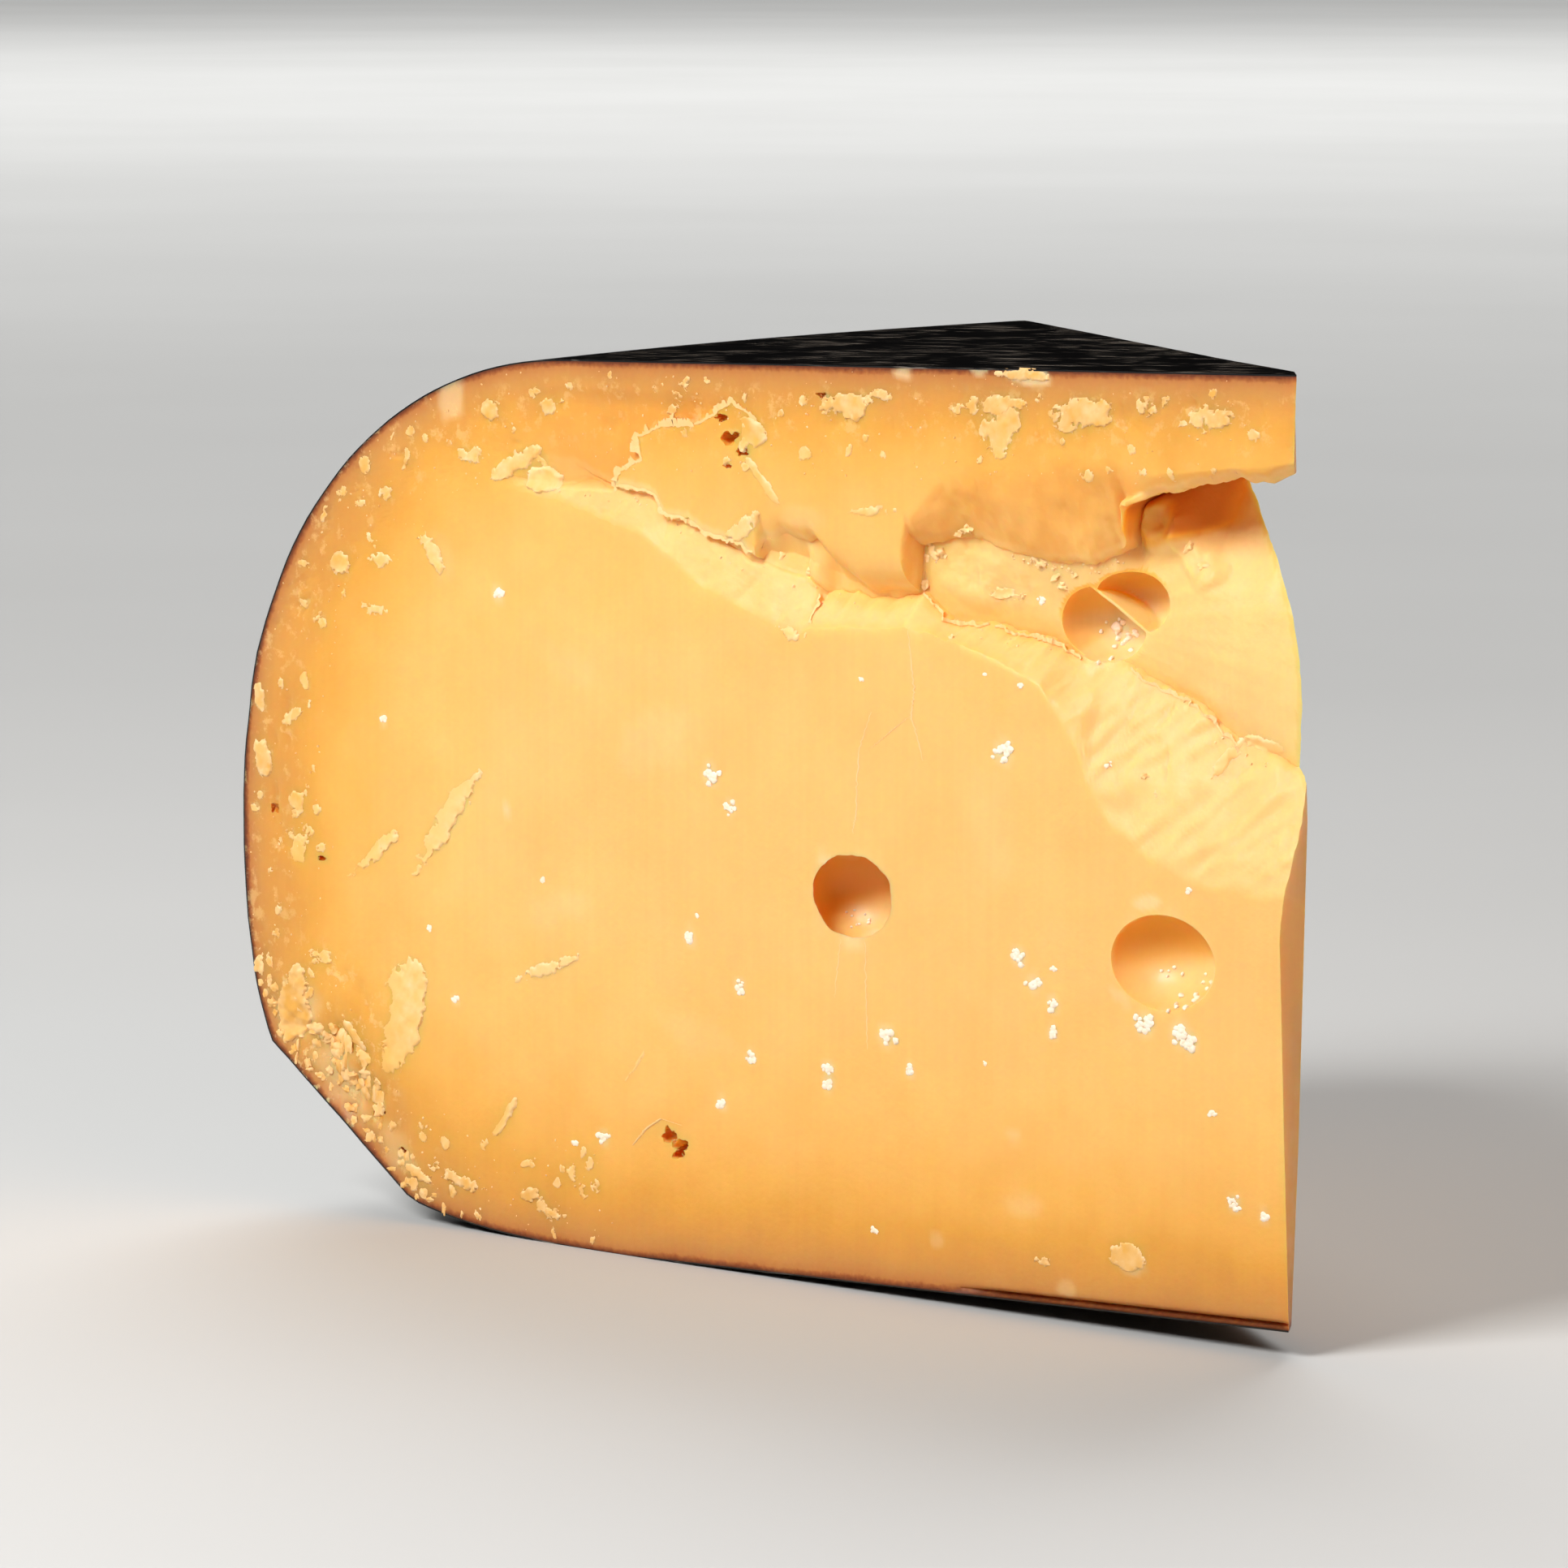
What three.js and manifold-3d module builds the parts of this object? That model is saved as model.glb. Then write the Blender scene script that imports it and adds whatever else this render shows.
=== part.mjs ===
// A wedge of aged gouda under a thin black wax coat, standing on its flat side.
// Millimetres, +Z up. The wheel's axis lies close to the tip of the wedge, at +X;
// the round rim is at -X, and the big cut face looks along -Y.
// The origin is at the middle of the base of the bounding box.

import * as THREE from 'three';
import { mergeVertices } from 'three/addons/utils/BufferGeometryUtils.js';
import Module from 'manifold-3d';

const wasm = await Module();
wasm.setup();

// ---------------------------------------------------------------- driving sizes

const WHEEL_RADIUS = 177.5;
const WHEEL_HEIGHT = 115;
const RIM_MIDDLE = 55;              // height of the widest line of the rim
const TOP_FLAT_RADIUS = 118;        // where the top starts to round over
const TOP_ROUNDING = 2.1;           // superellipse exponent of the upper rim
const BASE_FLAT_RADIUS = 108;       // where the underside starts to round up
const BASE_ROUNDING = 3.1;          // superellipse exponent of the lower rim
const RIM_STEPS = 16;               // facets of each quarter of the rim
const WHEEL_SEGMENTS = 144;         // facets round the whole wheel

const COAT_THICKNESS = 0.7;
const COAT_GAP = 0.3;               // clearance between the coat and the cheese

const WEDGE_ANGLE = THREE.MathUtils.degToRad(34.5);
const TIP_FACET = [-3.0, 5.2];      // where the blunt tip meets the second cut
const SECOND_CUT_LEAN = 1.5;        // how far the second cut leans forward at the top

const TIP_LIFT = 3.5;               // the underside is hollow towards the axis
const TOP_FALL = 0.0265;            // slope of the top, down towards the rim
const TOP_RISE = 0.0325;            // slope of the top, up towards the second cut
const REST_FLAT_DEPTH = 0.15;       // how far the resting spot is worn flat

const DENT_FROM = [147, 3.2];       // flattened part of the lower rim: radius, height
const DENT_TO = [172, 21.6];
const DENT_ANGLE = THREE.MathUtils.degToRad(16);

// ---------------------------------------------------------------- solids

// Turns a closed geometry into a solid: only positions count, shared corners are merged.
function solid(geometry) {
  const bare = new THREE.BufferGeometry();
  bare.setAttribute('position', geometry.getAttribute('position').clone());
  bare.setIndex(geometry.getIndex());
  const merged = mergeVertices(bare, 1e-4);
  const index = merged.getIndex().array;
  const triangles = [];
  for (let i = 0; i < index.length; i += 3) {
    const [a, b, c] = [index[i], index[i + 1], index[i + 2]];
    if (a !== b && b !== c && c !== a) triangles.push(a, b, c);
  }
  return new wasm.Manifold(new wasm.Mesh({
    numProp: 3,
    vertProperties: new Float32Array(merged.getAttribute('position').array),
    triVerts: new Uint32Array(triangles),
  }));
}

function namedMesh(name, body, material) {
  const result = body.getMesh();
  const geometry = new THREE.BufferGeometry();
  geometry.setAttribute('position', new THREE.BufferAttribute(result.vertProperties, 3));
  geometry.setIndex(new THREE.BufferAttribute(result.triVerts, 1));
  geometry.computeVertexNormals();
  const mesh = new THREE.Mesh(geometry, material);
  mesh.name = name;
  return mesh;
}

// Changes every vertex of a geometry with a function that edits a vector in place.
function reshape(geometry, edit) {
  const position = geometry.getAttribute('position');
  const point = new THREE.Vector3();
  for (let i = 0; i < position.count; i += 1) {
    point.fromBufferAttribute(position, i);
    edit(point, i);
    position.setXYZ(i, point.x, point.y, point.z);
  }
  return geometry;
}

// Value of a line through a few [place, value] points, straight between them.
function along(points, place) {
  const last = points.length - 1;
  if (place <= points[0][0]) return points[0][1];
  if (place >= points[last][0]) return points[last][1];
  const i = points.findIndex((point) => point[0] > place);
  const [x0, v0] = points[i - 1];
  const [x1, v1] = points[i];
  return v0 + ((v1 - v0) * (place - x0)) / (x1 - x0);
}

// ---------------------------------------------------------------- the wheel

// One quarter of the rim, from the widest line (turn 0) to the flat (turn 1).
function rimPoint(turn, flatRadius, halfHeight, exponent) {
  const angle = (turn * Math.PI) / 2;
  const out = Math.cos(angle) ** (2 / exponent);
  const up = Math.sin(angle) ** (2 / exponent);
  return new THREE.Vector2(
    flatRadius + (WHEEL_RADIUS - flatRadius) * out,
    halfHeight * up,
  );
}

// The outline of half a wheel, from the middle of the base to the middle of the top.
function wheelOutline() {
  const outline = [new THREE.Vector2(0, 0)];
  for (let i = RIM_STEPS; i > 0; i -= 1) {
    const point = rimPoint(i / RIM_STEPS, BASE_FLAT_RADIUS, RIM_MIDDLE, BASE_ROUNDING);
    outline.push(new THREE.Vector2(point.x, RIM_MIDDLE - point.y));
  }
  for (let i = 0; i <= RIM_STEPS; i += 1) {
    const above = WHEEL_HEIGHT - RIM_MIDDLE;
    const point = rimPoint(i / RIM_STEPS, TOP_FLAT_RADIUS, above, TOP_ROUNDING);
    outline.push(new THREE.Vector2(point.x, RIM_MIDDLE + point.y));
  }
  outline.push(new THREE.Vector2(0, WHEEL_HEIGHT));
  return outline;
}

// Unit vectors that point out of the wheel at each point of its outline.
function outlineNormals(outline) {
  return outline.map((point, i) => {
    if (i === 0) return new THREE.Vector2(0, -1);
    if (i === outline.length - 1) return new THREE.Vector2(0, 1);
    const chord = new THREE.Vector2().subVectors(outline[i + 1], outline[i - 1]);
    return new THREE.Vector2(chord.y, -chord.x).normalize();
  });
}

// How deep the lower rim is pressed in at a point of the outline, along its normal.
function dentDepth(point, normal) {
  const from = new THREE.Vector2(...DENT_FROM);
  const chord = new THREE.Vector2(...DENT_TO).sub(from);
  const outward = new THREE.Vector2(chord.y, -chord.x).normalize();
  const beyond = point.clone().sub(from).dot(outward);
  return beyond > 0 ? beyond / Math.max(normal.dot(outward), 0.5) : 0;
}

// The wheel out of true: its top slopes, its underside is hollow towards the axis.
function settle(point) {
  const radius = Math.hypot(point.x, point.y);
  const height = THREE.MathUtils.clamp(point.z / WHEEL_HEIGHT, 0, 1);
  const topShift = TIP_LIFT + TOP_FALL * point.x + TOP_RISE * point.y;
  const baseShift = TIP_LIFT * Math.max(0, 1 - radius / BASE_FLAT_RADIUS);
  point.z += topShift * height + baseShift * (1 - height) - REST_FLAT_DEPTH;
}

// A whole wheel whose surface lies `inset` inside the outer surface of the coat.
// The front cut runs along -X from the axis, so angles are counted from there.
function wheel(inset) {
  const outline = wheelOutline();
  const normals = outlineNormals(outline);
  const inner = outline.map((point, i) => {
    const moved = point.clone().addScaledVector(normals[i], -inset);
    return new THREE.Vector2(i === 0 || i === outline.length - 1 ? 0 : moved.x, moved.y);
  });
  const geometry = new THREE.LatheGeometry(inner, WHEEL_SEGMENTS);
  geometry.rotateX(Math.PI / 2);
  reshape(geometry, (point, i) => {
    const row = i % outline.length;
    const radius = Math.hypot(point.x, point.y);
    const turn = Math.abs(Math.atan2(point.y, -point.x));
    const fade = 1 - THREE.MathUtils.smoothstep(turn, DENT_ANGLE / 2, DENT_ANGLE);
    const dent = dentDepth(outline[row], normals[row]) * fade;
    const pulled = radius > 0 ? (radius - normals[row].x * dent) / radius : 1;
    point.x *= pulled;
    point.y *= pulled;
    point.z -= normals[row].y * dent;
    settle(point);
  });
  return solid(geometry);
}

// ---------------------------------------------------------------- the cuts

// The upright block that the two cuts leave of the wheel, with its blunt tip.
function wedgeBlock() {
  const reach = WHEEL_RADIUS + 40;
  const [facetX, facetY] = TIP_FACET;
  const plan = new THREE.Shape([
    new THREE.Vector2(0, 0),
    new THREE.Vector2(facetX, facetY),
    new THREE.Vector2(
      facetX - reach * Math.cos(WEDGE_ANGLE),
      facetY + reach * Math.sin(WEDGE_ANGLE),
    ),
    new THREE.Vector2(-reach, 0),
  ]);
  const height = WHEEL_HEIGHT + 20;
  const geometry = new THREE.ExtrudeGeometry(plan, { depth: height, bevelEnabled: false });
  reshape(geometry, (point) => {
    if (point.y > 0) point.y -= (SECOND_CUT_LEAN * point.z) / height;
  });
  return solid(geometry);
}

// ---------------------------------------------------------------- the broken corner

// A piece has split off the upper part of the cut face: a deep hollow under the top
// layer at the tip, which runs out as a shallow groove towards the rim.
// Its lines are [x, z] on the cut face, with x = 0 at the tip.
const LEDGE_FRONT = [            // where the flat face ends and the ledge begins
  [-130, 99.5], [-97, 90.5], [-76, 82.2], [-56, 84.5], [-39, 77],
  [-28, 64], [-21, 59.5], [-12, 56.5], [4, 55],
];
const LEDGE_CREST = [            // the back of the ledge, where it drops into the hollow
  [-130, 100.5], [-107, 98], [-88, 91], [-80, 87.7], [-67, 87], [-62, 88],
  [-58, 84.5], [-44, 82.3], [-31, 80.2], [-18, 75.3], [-6, 71.4], [4, 66.5],
];
const ROOF_EDGE = [              // lower edge of the cheese that stands above the break
  [-130, 101.5], [-110, 99.6], [-96, 97], [-91, 94.4], [-77, 91], [-63, 88.6],
  [-60, 97.5], [-55, 97], [-42, 93.8], [-30, 95.8], [-26, 101.5], [-19, 104], [4, 106.5],
];

// Depths behind the cut face, as [x, depth].
const CREST_DEPTH = [[-130, 0.4], [-107, 3], [-67, 5.5], [-44, 8], [-18, 7], [4, 3]];
const FLOOR_DEPTH = [[-130, 0.6], [-107, 4], [-67, 6.5], [-44, 8.5], [-18, 7.5], [4, 4]];
const FLOOR_FALL = [             // how much deeper the hollow is under its roof
  [-130, 0.2], [-66, 1], [-62, -1.5], [-58, -2.5], [-44, 0], [-26, 8], [-12, 12], [4, 13.5],
];
const ROOF_DEPTH = [             // how far the roof's edge lies behind the face
  [-130, 0.1], [-110, 0.6], [-63, 1], [-60, 3], [-50, 4], [-30, 4], [-25, 0.2], [4, 0],
];
const FACE_RESUMES = 107;        // height at which the face above the break is flat again
const CLEAR_OF_FACE = -1.5;      // the cutter stays this far in front of the unbroken face

const CUTTER_FROM = -130;
const CUTTER_TO = 4;
const CUTTER_COLUMNS = 44;

// The broken surface in one upright section, from below the ledge to above the roof,
// as [height, depth behind the face].
function breakSection(x) {
  const front = along(LEDGE_FRONT, x);
  const crest = along(LEDGE_CREST, x);
  const roof = along(ROOF_EDGE, x);
  const crestDepth = along(CREST_DEPTH, x);
  const floorDepth = along(FLOOR_DEPTH, x);
  const fall = along(FLOOR_FALL, x);
  const roofDepth = along(ROOF_DEPTH, x);
  const section = [[front - 3, CLEAR_OF_FACE]];
  for (const up of [0, 0.2, 0.45, 0.7, 1]) {
    const depth = crestDepth * Math.sin((up * Math.PI) / 2);
    section.push([front + (crest - front) * up, depth]);
  }
  for (const up of [0.05, 0.25, 0.45, 0.65, 0.85, 0.97]) {
    section.push([crest + (roof - crest) * up, floorDepth + fall * up ** 1.6]);
  }
  for (const up of [0, 0.5, 1]) {
    const height = roof + (FACE_RESUMES - roof) * up;
    section.push([height, roofDepth * (1 - up)]);
  }
  section.push([FACE_RESUMES + 2, CLEAR_OF_FACE]);
  return section;
}

// The block of air in front of the break; its back is the broken surface.
function breakCutter() {
  const rows = breakSection(CUTTER_FROM).length - 1;
  const geometry = new THREE.BoxGeometry(1, 1, 1, CUTTER_COLUMNS, 1, rows);
  const bottom = 40;
  const top = 112;
  reshape(geometry, (point) => {
    const row = Math.round((point.z + 0.5) * rows);
    const x = CUTTER_FROM + (CUTTER_TO - CUTTER_FROM) * (point.x + 0.5);
    if (point.y > 0) {
      const [height, depth] = breakSection(x)[row];
      point.set(x, depth, height);
    } else {
      point.set(x, -12, bottom + ((top - bottom) * row) / rows);
    }
  });
  return solid(geometry);
}

// Round gas holes, as middle [x, depth, z] and half width, depth and height. The first
// two open on the cut face, and the twins on the broken surface.
const EYES = [
  { middle: [-69.5, 2.5, 50], half: [6.6, 8, 5.5] },
  { middle: [-19.8, -0.5, 46.3], half: [8.1, 6, 5.8] },
  { middle: [-32, 9, 89.3], half: [5.2, 4.5, 3.5] },
  { middle: [-36.8, 8.5, 86.2], half: [6, 5, 4.3] },
];

function eyeCutter({ middle, half }) {
  const geometry = new THREE.SphereGeometry(1, 20, 12);
  geometry.scale(...half);
  geometry.translate(...middle);
  return solid(geometry);
}

// ---------------------------------------------------------------- the part

const cheeseMaterial = new THREE.MeshStandardMaterial({
  color: 0xf5bd66, roughness: 0.55, metalness: 0,
});
const coatMaterial = new THREE.MeshStandardMaterial({
  color: 0x0b0a0c, roughness: 0.3, metalness: 0,
});

const block = wedgeBlock();

let cheese = wheel(COAT_THICKNESS + COAT_GAP).intersect(block).subtract(breakCutter());
for (const eye of EYES) cheese = cheese.subtract(eyeCutter(eye));

const waxCoat = wheel(0).subtract(wheel(COAT_THICKNESS)).intersect(block);

const bounds = new THREE.Box3();
const gouda = new THREE.Group();
gouda.add(namedMesh('cheese', cheese, cheeseMaterial));
gouda.add(namedMesh('wax_coat', waxCoat, coatMaterial));
for (const mesh of gouda.children) {
  mesh.geometry.computeBoundingBox();
  bounds.union(mesh.geometry.boundingBox);
}
const centre = bounds.getCenter(new THREE.Vector3());
gouda.position.set(-centre.x, -centre.y, 0);

export default gouda;
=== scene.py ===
import math

import bpy
import numpy as np
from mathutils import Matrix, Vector


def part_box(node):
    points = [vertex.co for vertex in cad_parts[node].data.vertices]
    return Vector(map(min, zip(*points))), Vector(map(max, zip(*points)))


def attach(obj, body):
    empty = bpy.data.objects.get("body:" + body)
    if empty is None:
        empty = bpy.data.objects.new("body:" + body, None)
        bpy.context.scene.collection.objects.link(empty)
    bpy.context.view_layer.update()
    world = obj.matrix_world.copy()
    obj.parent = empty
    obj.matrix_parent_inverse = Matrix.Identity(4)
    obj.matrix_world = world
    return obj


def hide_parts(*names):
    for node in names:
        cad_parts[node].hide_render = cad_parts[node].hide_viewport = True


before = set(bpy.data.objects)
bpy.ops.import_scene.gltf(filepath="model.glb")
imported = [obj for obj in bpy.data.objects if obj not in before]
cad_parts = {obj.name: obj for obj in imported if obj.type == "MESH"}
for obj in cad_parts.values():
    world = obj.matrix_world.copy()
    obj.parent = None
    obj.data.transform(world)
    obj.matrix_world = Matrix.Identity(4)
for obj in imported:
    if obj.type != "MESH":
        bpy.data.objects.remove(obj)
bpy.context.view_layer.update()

# A wedge of aged gouda under a thin black wax coat, standing on its flat side.
# Shapes are worked out in millimetres in the wheel's own frame: x is 0 at the tip and
# negative towards the rim, y is the depth behind the big cut face, z is the height.

cheese_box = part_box("cheese")
TIP_X = cheese_box[1][0]
FACE_Y = cheese_box[0][1]

# ---------------------------------------------------------------- sizes

WHEEL_RADIUS = 177.5
WHEEL_HEIGHT = 115.0
RIM_MIDDLE = 55.0            # height of the widest line of the rim
TOP_FLAT_RADIUS = 118.0
TOP_ROUNDING = 2.1           # of the rim's curve: 2 is an ellipse, more is squarer
BASE_FLAT_RADIUS = 108.0
BASE_ROUNDING = 3.1
RIM_STEPS = 40
WHEEL_SEGMENTS = 360
COAT = 0.2                   # thickness of the wax

WEDGE_ANGLE = math.radians(34.5)
SECOND_CUT_LEAN = 1.5 / 135  # forward lean of the second cut, per mm of height
TIP_LIFT = 3.5               # how far the wheel is lifted at its axis
TOP_FALL = 0.0265            # slope of the top down to the rim
TOP_RISE = 0.0325            # slope of the top up towards the second cut
REST_FLAT_DEPTH = 0.15       # how far the whole wheel is let down again

# The flattened part of the lower rim: [radius, height] of its two ends, and how far it reaches
# to each side round the wheel.
DENT_FROM = np.array([147.0, 3.2])
DENT_TO = np.array([172.0, 21.6])
DENT_ANGLE = math.radians(16)

# The blunt tip, from bottom to top, as [height, value]: x of its edge on the cut face, then x
# and depth of its edge on the second cut.
TIP_INNER = [[0, 0], [25, -1], [51, -2], [62, -0.5], [66, 0.5], [100, -0.5], [119, 0]]
TIP_OUTER_X = [[0, -3.5], [25, -2.5], [65, -1.5], [100, -3], [119, -3.5]]
TIP_OUTER_DEPTH = [[0, 4.7], [68, 4.7], [119, 4.0]]

# The broken corner, as [x, height] lines on the cut face. They give its course; ragged_line()
# makes all but the last of them uneven.
LEDGE_FRONT = [
    [-182, 70], [-133, 98.5], [-121, 97], [-106, 93.5], [-94.5, 87], [-78.5, 82], [-76.5, 83],
    [-61, 84.5], [-47, 81.5], [-39, 78], [-33.5, 71.5], [-32, 67], [-28, 62], [-21, 58.5],
    [-15, 56], [4, 55],
]
LEDGE_CREST = [
    [-182, 80], [-133, 100], [-121, 99], [-116, 100], [-104, 98], [-102, 95], [-97.5, 95],
    [-88, 91], [-79, 89.5], [-77, 87.5], [-66, 87], [-61, 88.5], [-56, 85.5], [-43, 84],
    [-39, 82], [-31, 81], [-21, 77.5], [-13, 73.5], [4, 67.5],
]
ROOF_EDGE = [
    [-182, 90], [-133, 103], [-118, 101.5], [-111, 99.5], [-103, 98.5], [-101.5, 96],
    [-97, 95.5], [-90, 93.5], [-86.5, 92], [-85.5, 94.5], [-77, 94], [-74, 91], [-69, 88],
    [-61.8, 88], [-61.2, 94.5], [-53, 96], [-41, 93], [-34, 94], [-29, 96], [-27.5, 101],
    [-21, 103.5], [4, 107],
]
FACE_RESUMES = [
    [-182, 98], [-133, 106], [-118, 108.5], [-100, 102], [-63, 101], [-60.5, 98.5], [-55, 104],
    [-49.5, 106], [-38, 107.5], [-27.5, 107.5], [-23, 105.5], [4, 108.5],
]

# Depths behind the cut face along those lines.
CREST_DEPTH = [[-133, 0], [-119, 0.7], [-103, 1.2], [-92, 1.6], [-84, 2.5], [-78, 3.2],
               [-77, 4.0], [-66, 4.6], [-60, 4.4], [-44, 5.6], [-34, 6.2], [-12, 6.2], [4, 4]]
LEDGE_CURVE = [[-62, 1.1], [-45, 1.2], [-34, 1.5], [4, 1.5]]     # above 1 the ledge bulges forward
ROOF_DEPTH = [[-133, 0], [-118, 0.6], [-111, 0.3], [-90, 0.4], [-86.5, 0.8], [-85.5, 1.8],
              [-79, 2.4], [-75, 3.3], [-70, 3.9], [-62, 3.9], [-61, 3.3], [-49, 3.5], [-30, 4.4],
              [-28, 3.8], [-26.5, 1.8], [4, 1.5]]
# How suddenly the face above curves in to the roof's edge, and how far the hollow reaches up
# behind that edge.
ROOF_CURVE = [[-90, 1.5], [-84, 3.5], [-76, 6], [-62, 6], [-61, 1.9], [-40, 1.9], [-25, 1.8]]
ROOF_LIFT = [[-29, 0.0], [-26, 1.5], [4, 2.2]]

# Depth of the hollow's floor: [x, depth] at its crest, half way up and under the roof.
FLOOR_AT_CREST = [[-133, 0], [-118, 0.7], [-104, 1.2], [-88, 2], [-80, 3.2], [-74, 4.6],
                  [-61, 4.6], [-50, 5.4], [-38, 6.5], [-24, 7.2], [4, 6]]
FLOOR_HALF_WAY = [[-133, 0], [-118, 0.6], [-104, 0.9], [-88, 1.7], [-84, 3.2], [-74, 4.7],
                  [-61, 4.1], [-50, 4.7], [-38, 6], [-24, 6.3], [4, 6]]
FLOOR_UNDER_ROOF = [[-133, 0], [-118, 0.6], [-104, 0.8], [-88, 1.2], [-80, 2.5], [-74, 4],
                    [-61, 3.9], [-50, 3.7], [-31.5, 4.9], [-28, 7.4], [-18, 15], [4, 17]]

GROOVE_DEPTH = 0.45
# Short grooves in the ledge: [x, height] ends, half width, share of that depth.
GROOVES = [
    ([-34, 71.5], [-30.5, 75.5], 1.0, 0.8), ([-32, 70], [-28.5, 74.5], 0.9, 0.6),
    ([-39, 78], [-38, 79.5], 0.8, 0.6), ([-42.5, 80], [-43, 82], 0.7, 0.5),
    ([-24.5, 74], [-23, 76.5], 0.8, 0.6), ([-21.5, 68.5], [-22, 71.5], 0.6, 0.8),
    ([-28, 68], [-26, 72], 0.9, 0.5), ([-19.5, 63], [-15, 67], 1.0, 0.4),
    ([-100.5, 90], [-99, 92], 0.7, 0.35), ([-95, 90], [-94, 91.5], 0.7, 0.35),
    ([-90.5, 86.5], [-90, 90], 0.6, 0.3), ([-74, 83], [-71, 85.5], 0.7, 0.35),
    ([-55.5, 83.5], [-54, 84.5], 0.7, 0.5), ([-50, 82], [-49.5, 83.5], 0.6, 0.3),
]

# Outline of the thin layer that was left standing at the left end of the break.
FLAP = [
    [-111, 98.5], [-109, 101.5], [-105.5, 103], [-106, 106], [-102.5, 107.5], [-96, 108],
    [-93, 109.5], [-90, 111], [-87, 110], [-85, 108.5], [-84, 103], [-80, 96], [-86, 91.5],
]

# Lumpy and pitted places of the front surface: [x, height], half size, turn in radians if any.
LUMPY_FLOOR = ((-51, 91), (9.5, 5.0), -0.25)
POCKET_LUMPS = ((-25.5, 99), (4, 4.5))
POCKET_CHUNK = ((-26, 99.2), (2.4, 3.2), -0.3)
SLAB_KNOB = ((-77.8, 91.0), (2.1, 3.6), 0.25)
CORNER_PITS = ((-160, 18), (17, 9), -0.75)
CORNER_CRUMBLY = ((-162, 22), (18, 14), -0.7)
POCKET_RIDGE = ([-22.6, 96.4], [-18.3, 93.2])      # ends of the ridge below the deep pocket
FAN_MIDDLE = (-36.5, 86)     # where the fine ridges on the hollow's floor fan out from
# The slope above the hollow is waxy; its darker colour is partly painted shade, as it faces down.
SLOPE_FROM, SLOPE_TO = -62, -26     # x where the waxy slope above the hollow starts and ends

# Pale smears on the front surface, two of them partly painted light on lit walls of gas holes: [x,
# height], half size, turn in degrees and strength.
SMEARS_AND_LIT_SPOTS = [
    ([-69.5, 50], [8, 7], 0, 0.35), ([-74.5, 54.5], [1.6, 1], 0, 0.8),
    # Next line, first entry: on the lit lower wall of the deep gas hole, partly a pale film and
    # partly painted light.
    ([-70, 44.5], [3.5, 1.2], 0, 0.7), ([-22, 53.5], [3, 1.2], 8, 0.8),
    ([-26.5, 41.5], [2.5, 1], -30, 0.5), ([-20, 46.5], [9, 7], 0, 0.3),
    ([-129, 56], [1, 1], 0, 0.8), ([-103, 67], [9, 5], 20, 0.25),
    ([-120, 44], [7, 3], 15, 0.25), ([-140.5, 88], [3, 5], 20, 0.2), ([-96, 30], [9, 3], -12, 0.2),
    ([-47.5, 60], [6, 9], 0, 0.15), ([-118, 76], [8, 3], -20, 0.15), ([-34, 86], [7.5, 5.5], 0, 0.4),
    ([-78, 97], [5, 2], 0, 0.25), ([-41.5, 116.5], [4.5, 1.7], 0, 2.0),
    ([-61.5, 116], [2.5, 1], 0, 1.2), ([-49, 117], [2, 1.1], 0, 1.6),
    # Next line, first entry: on the lower twin's bottom wall, partly a whitish film and partly
    # painted light.
    ([-35, 83.5], [5, 3.5], 0, 2.0), ([-139, 109.5], [3, 4], -20, 0.7),
    ([-168, 26], [5, 5], 0, 0.5), ([-160, 18], [8.5, 4.5], -42, 0.5), ([-150, 9.5], [6, 3], -38, 0.4),
    ([-41.5, 14], [5, 2], 0, 0.35), ([-43, 22.5], [2, 1.2], 0, 0.5), ([-24.5, 9], [3, 2], 0, 0.5),
    ([-55.5, 8], [1.6, 1.2], 0, 0.4), ([-34.5, 4.5], [2, 1.5], 0, 0.4),
]

# Small torn holes: middle [x, depth, height] and half size.
TORN_HOLES = [
    ([-100.5, 0.6, 16.5], [1.3, 1.6, 1.2]), ([-99, 1.4, 15], [1.2, 2.8, 1.3]),
    ([-98, 1, 15.5], [1, 1.8, 0.6]), ([-90, 0.6, 106.5], [1.4, 1.5, 1]),
    ([-88, 0.4, 105], [1.2, 1.1, 0.7]), ([-90.5, 0.3, 103], [0.7, 0.7, 0.4]),
    ([-91.5, 0.5, 109], [0.9, 0.9, 0.5]), ([-74.5, 0.3, 112.5], [1, 0.6, 0.5]),
    ([-163, 0.3, 47], [1.0, 0.6, 0.4]), ([-172, 0.3, 53], [0.8, 0.6, 0.6]),
    ([-161, 1.4, 20], [1.2, 1.2, 0.8]), ([-153.5, 1.2, 14], [1.3, 1.2, 0.8]),
    ([-148.5, 0.8, 9], [1, 1.3, 0.7]), ([-159.5, 0.5, 86.5], [0.6, 1, 0.5]),
]

# Gas holes: middle [x, depth, height] and half width, depth and height.
DEEP_EYE = ([-69.6, 2.8, 50.1], [8.1, 4.7, 6.6])
BOWL_EYE = ([-19.8, -2.5, 46.3], [8.6, 7.5, 6.2])
TWIN_UPPER = ([-29.5, 6.0, 89.0], [5.7, 5.6, 3.8])
TWIN_LOWER = ([-34.2, 5.6, 86.1], [6.5, 6.4, 4.7])
EYES = [DEEP_EYE, BOWL_EYE, TWIN_UPPER, TWIN_LOWER]
TWIN_WALL = ([-31.1, 6.4, 87.8], [0.555, 0.0, 0.832], 0.35)   # skin: place, normal, thickness

# Walls of the gas holes that the light does not reach: the hole, the way to its dark side, how
# far that way the shade starts and is full, and its strength.
HOLE_SHADES = [
    (DEEP_EYE, (-0.1, -0.45, 0.9), -0.75, -0.35, 0.35), (BOWL_EYE, (-0.2, 0, 1), -0.25, 0.5, 0.57),
    (TWIN_UPPER, (-0.2, 0, 1), 0.1, 0.8, 0.45), (TWIN_LOWER, (-0.3, 0, 1), 0.1, 0.8, 0.45),
]

FLAKE_THICKNESS = 0.4
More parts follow.
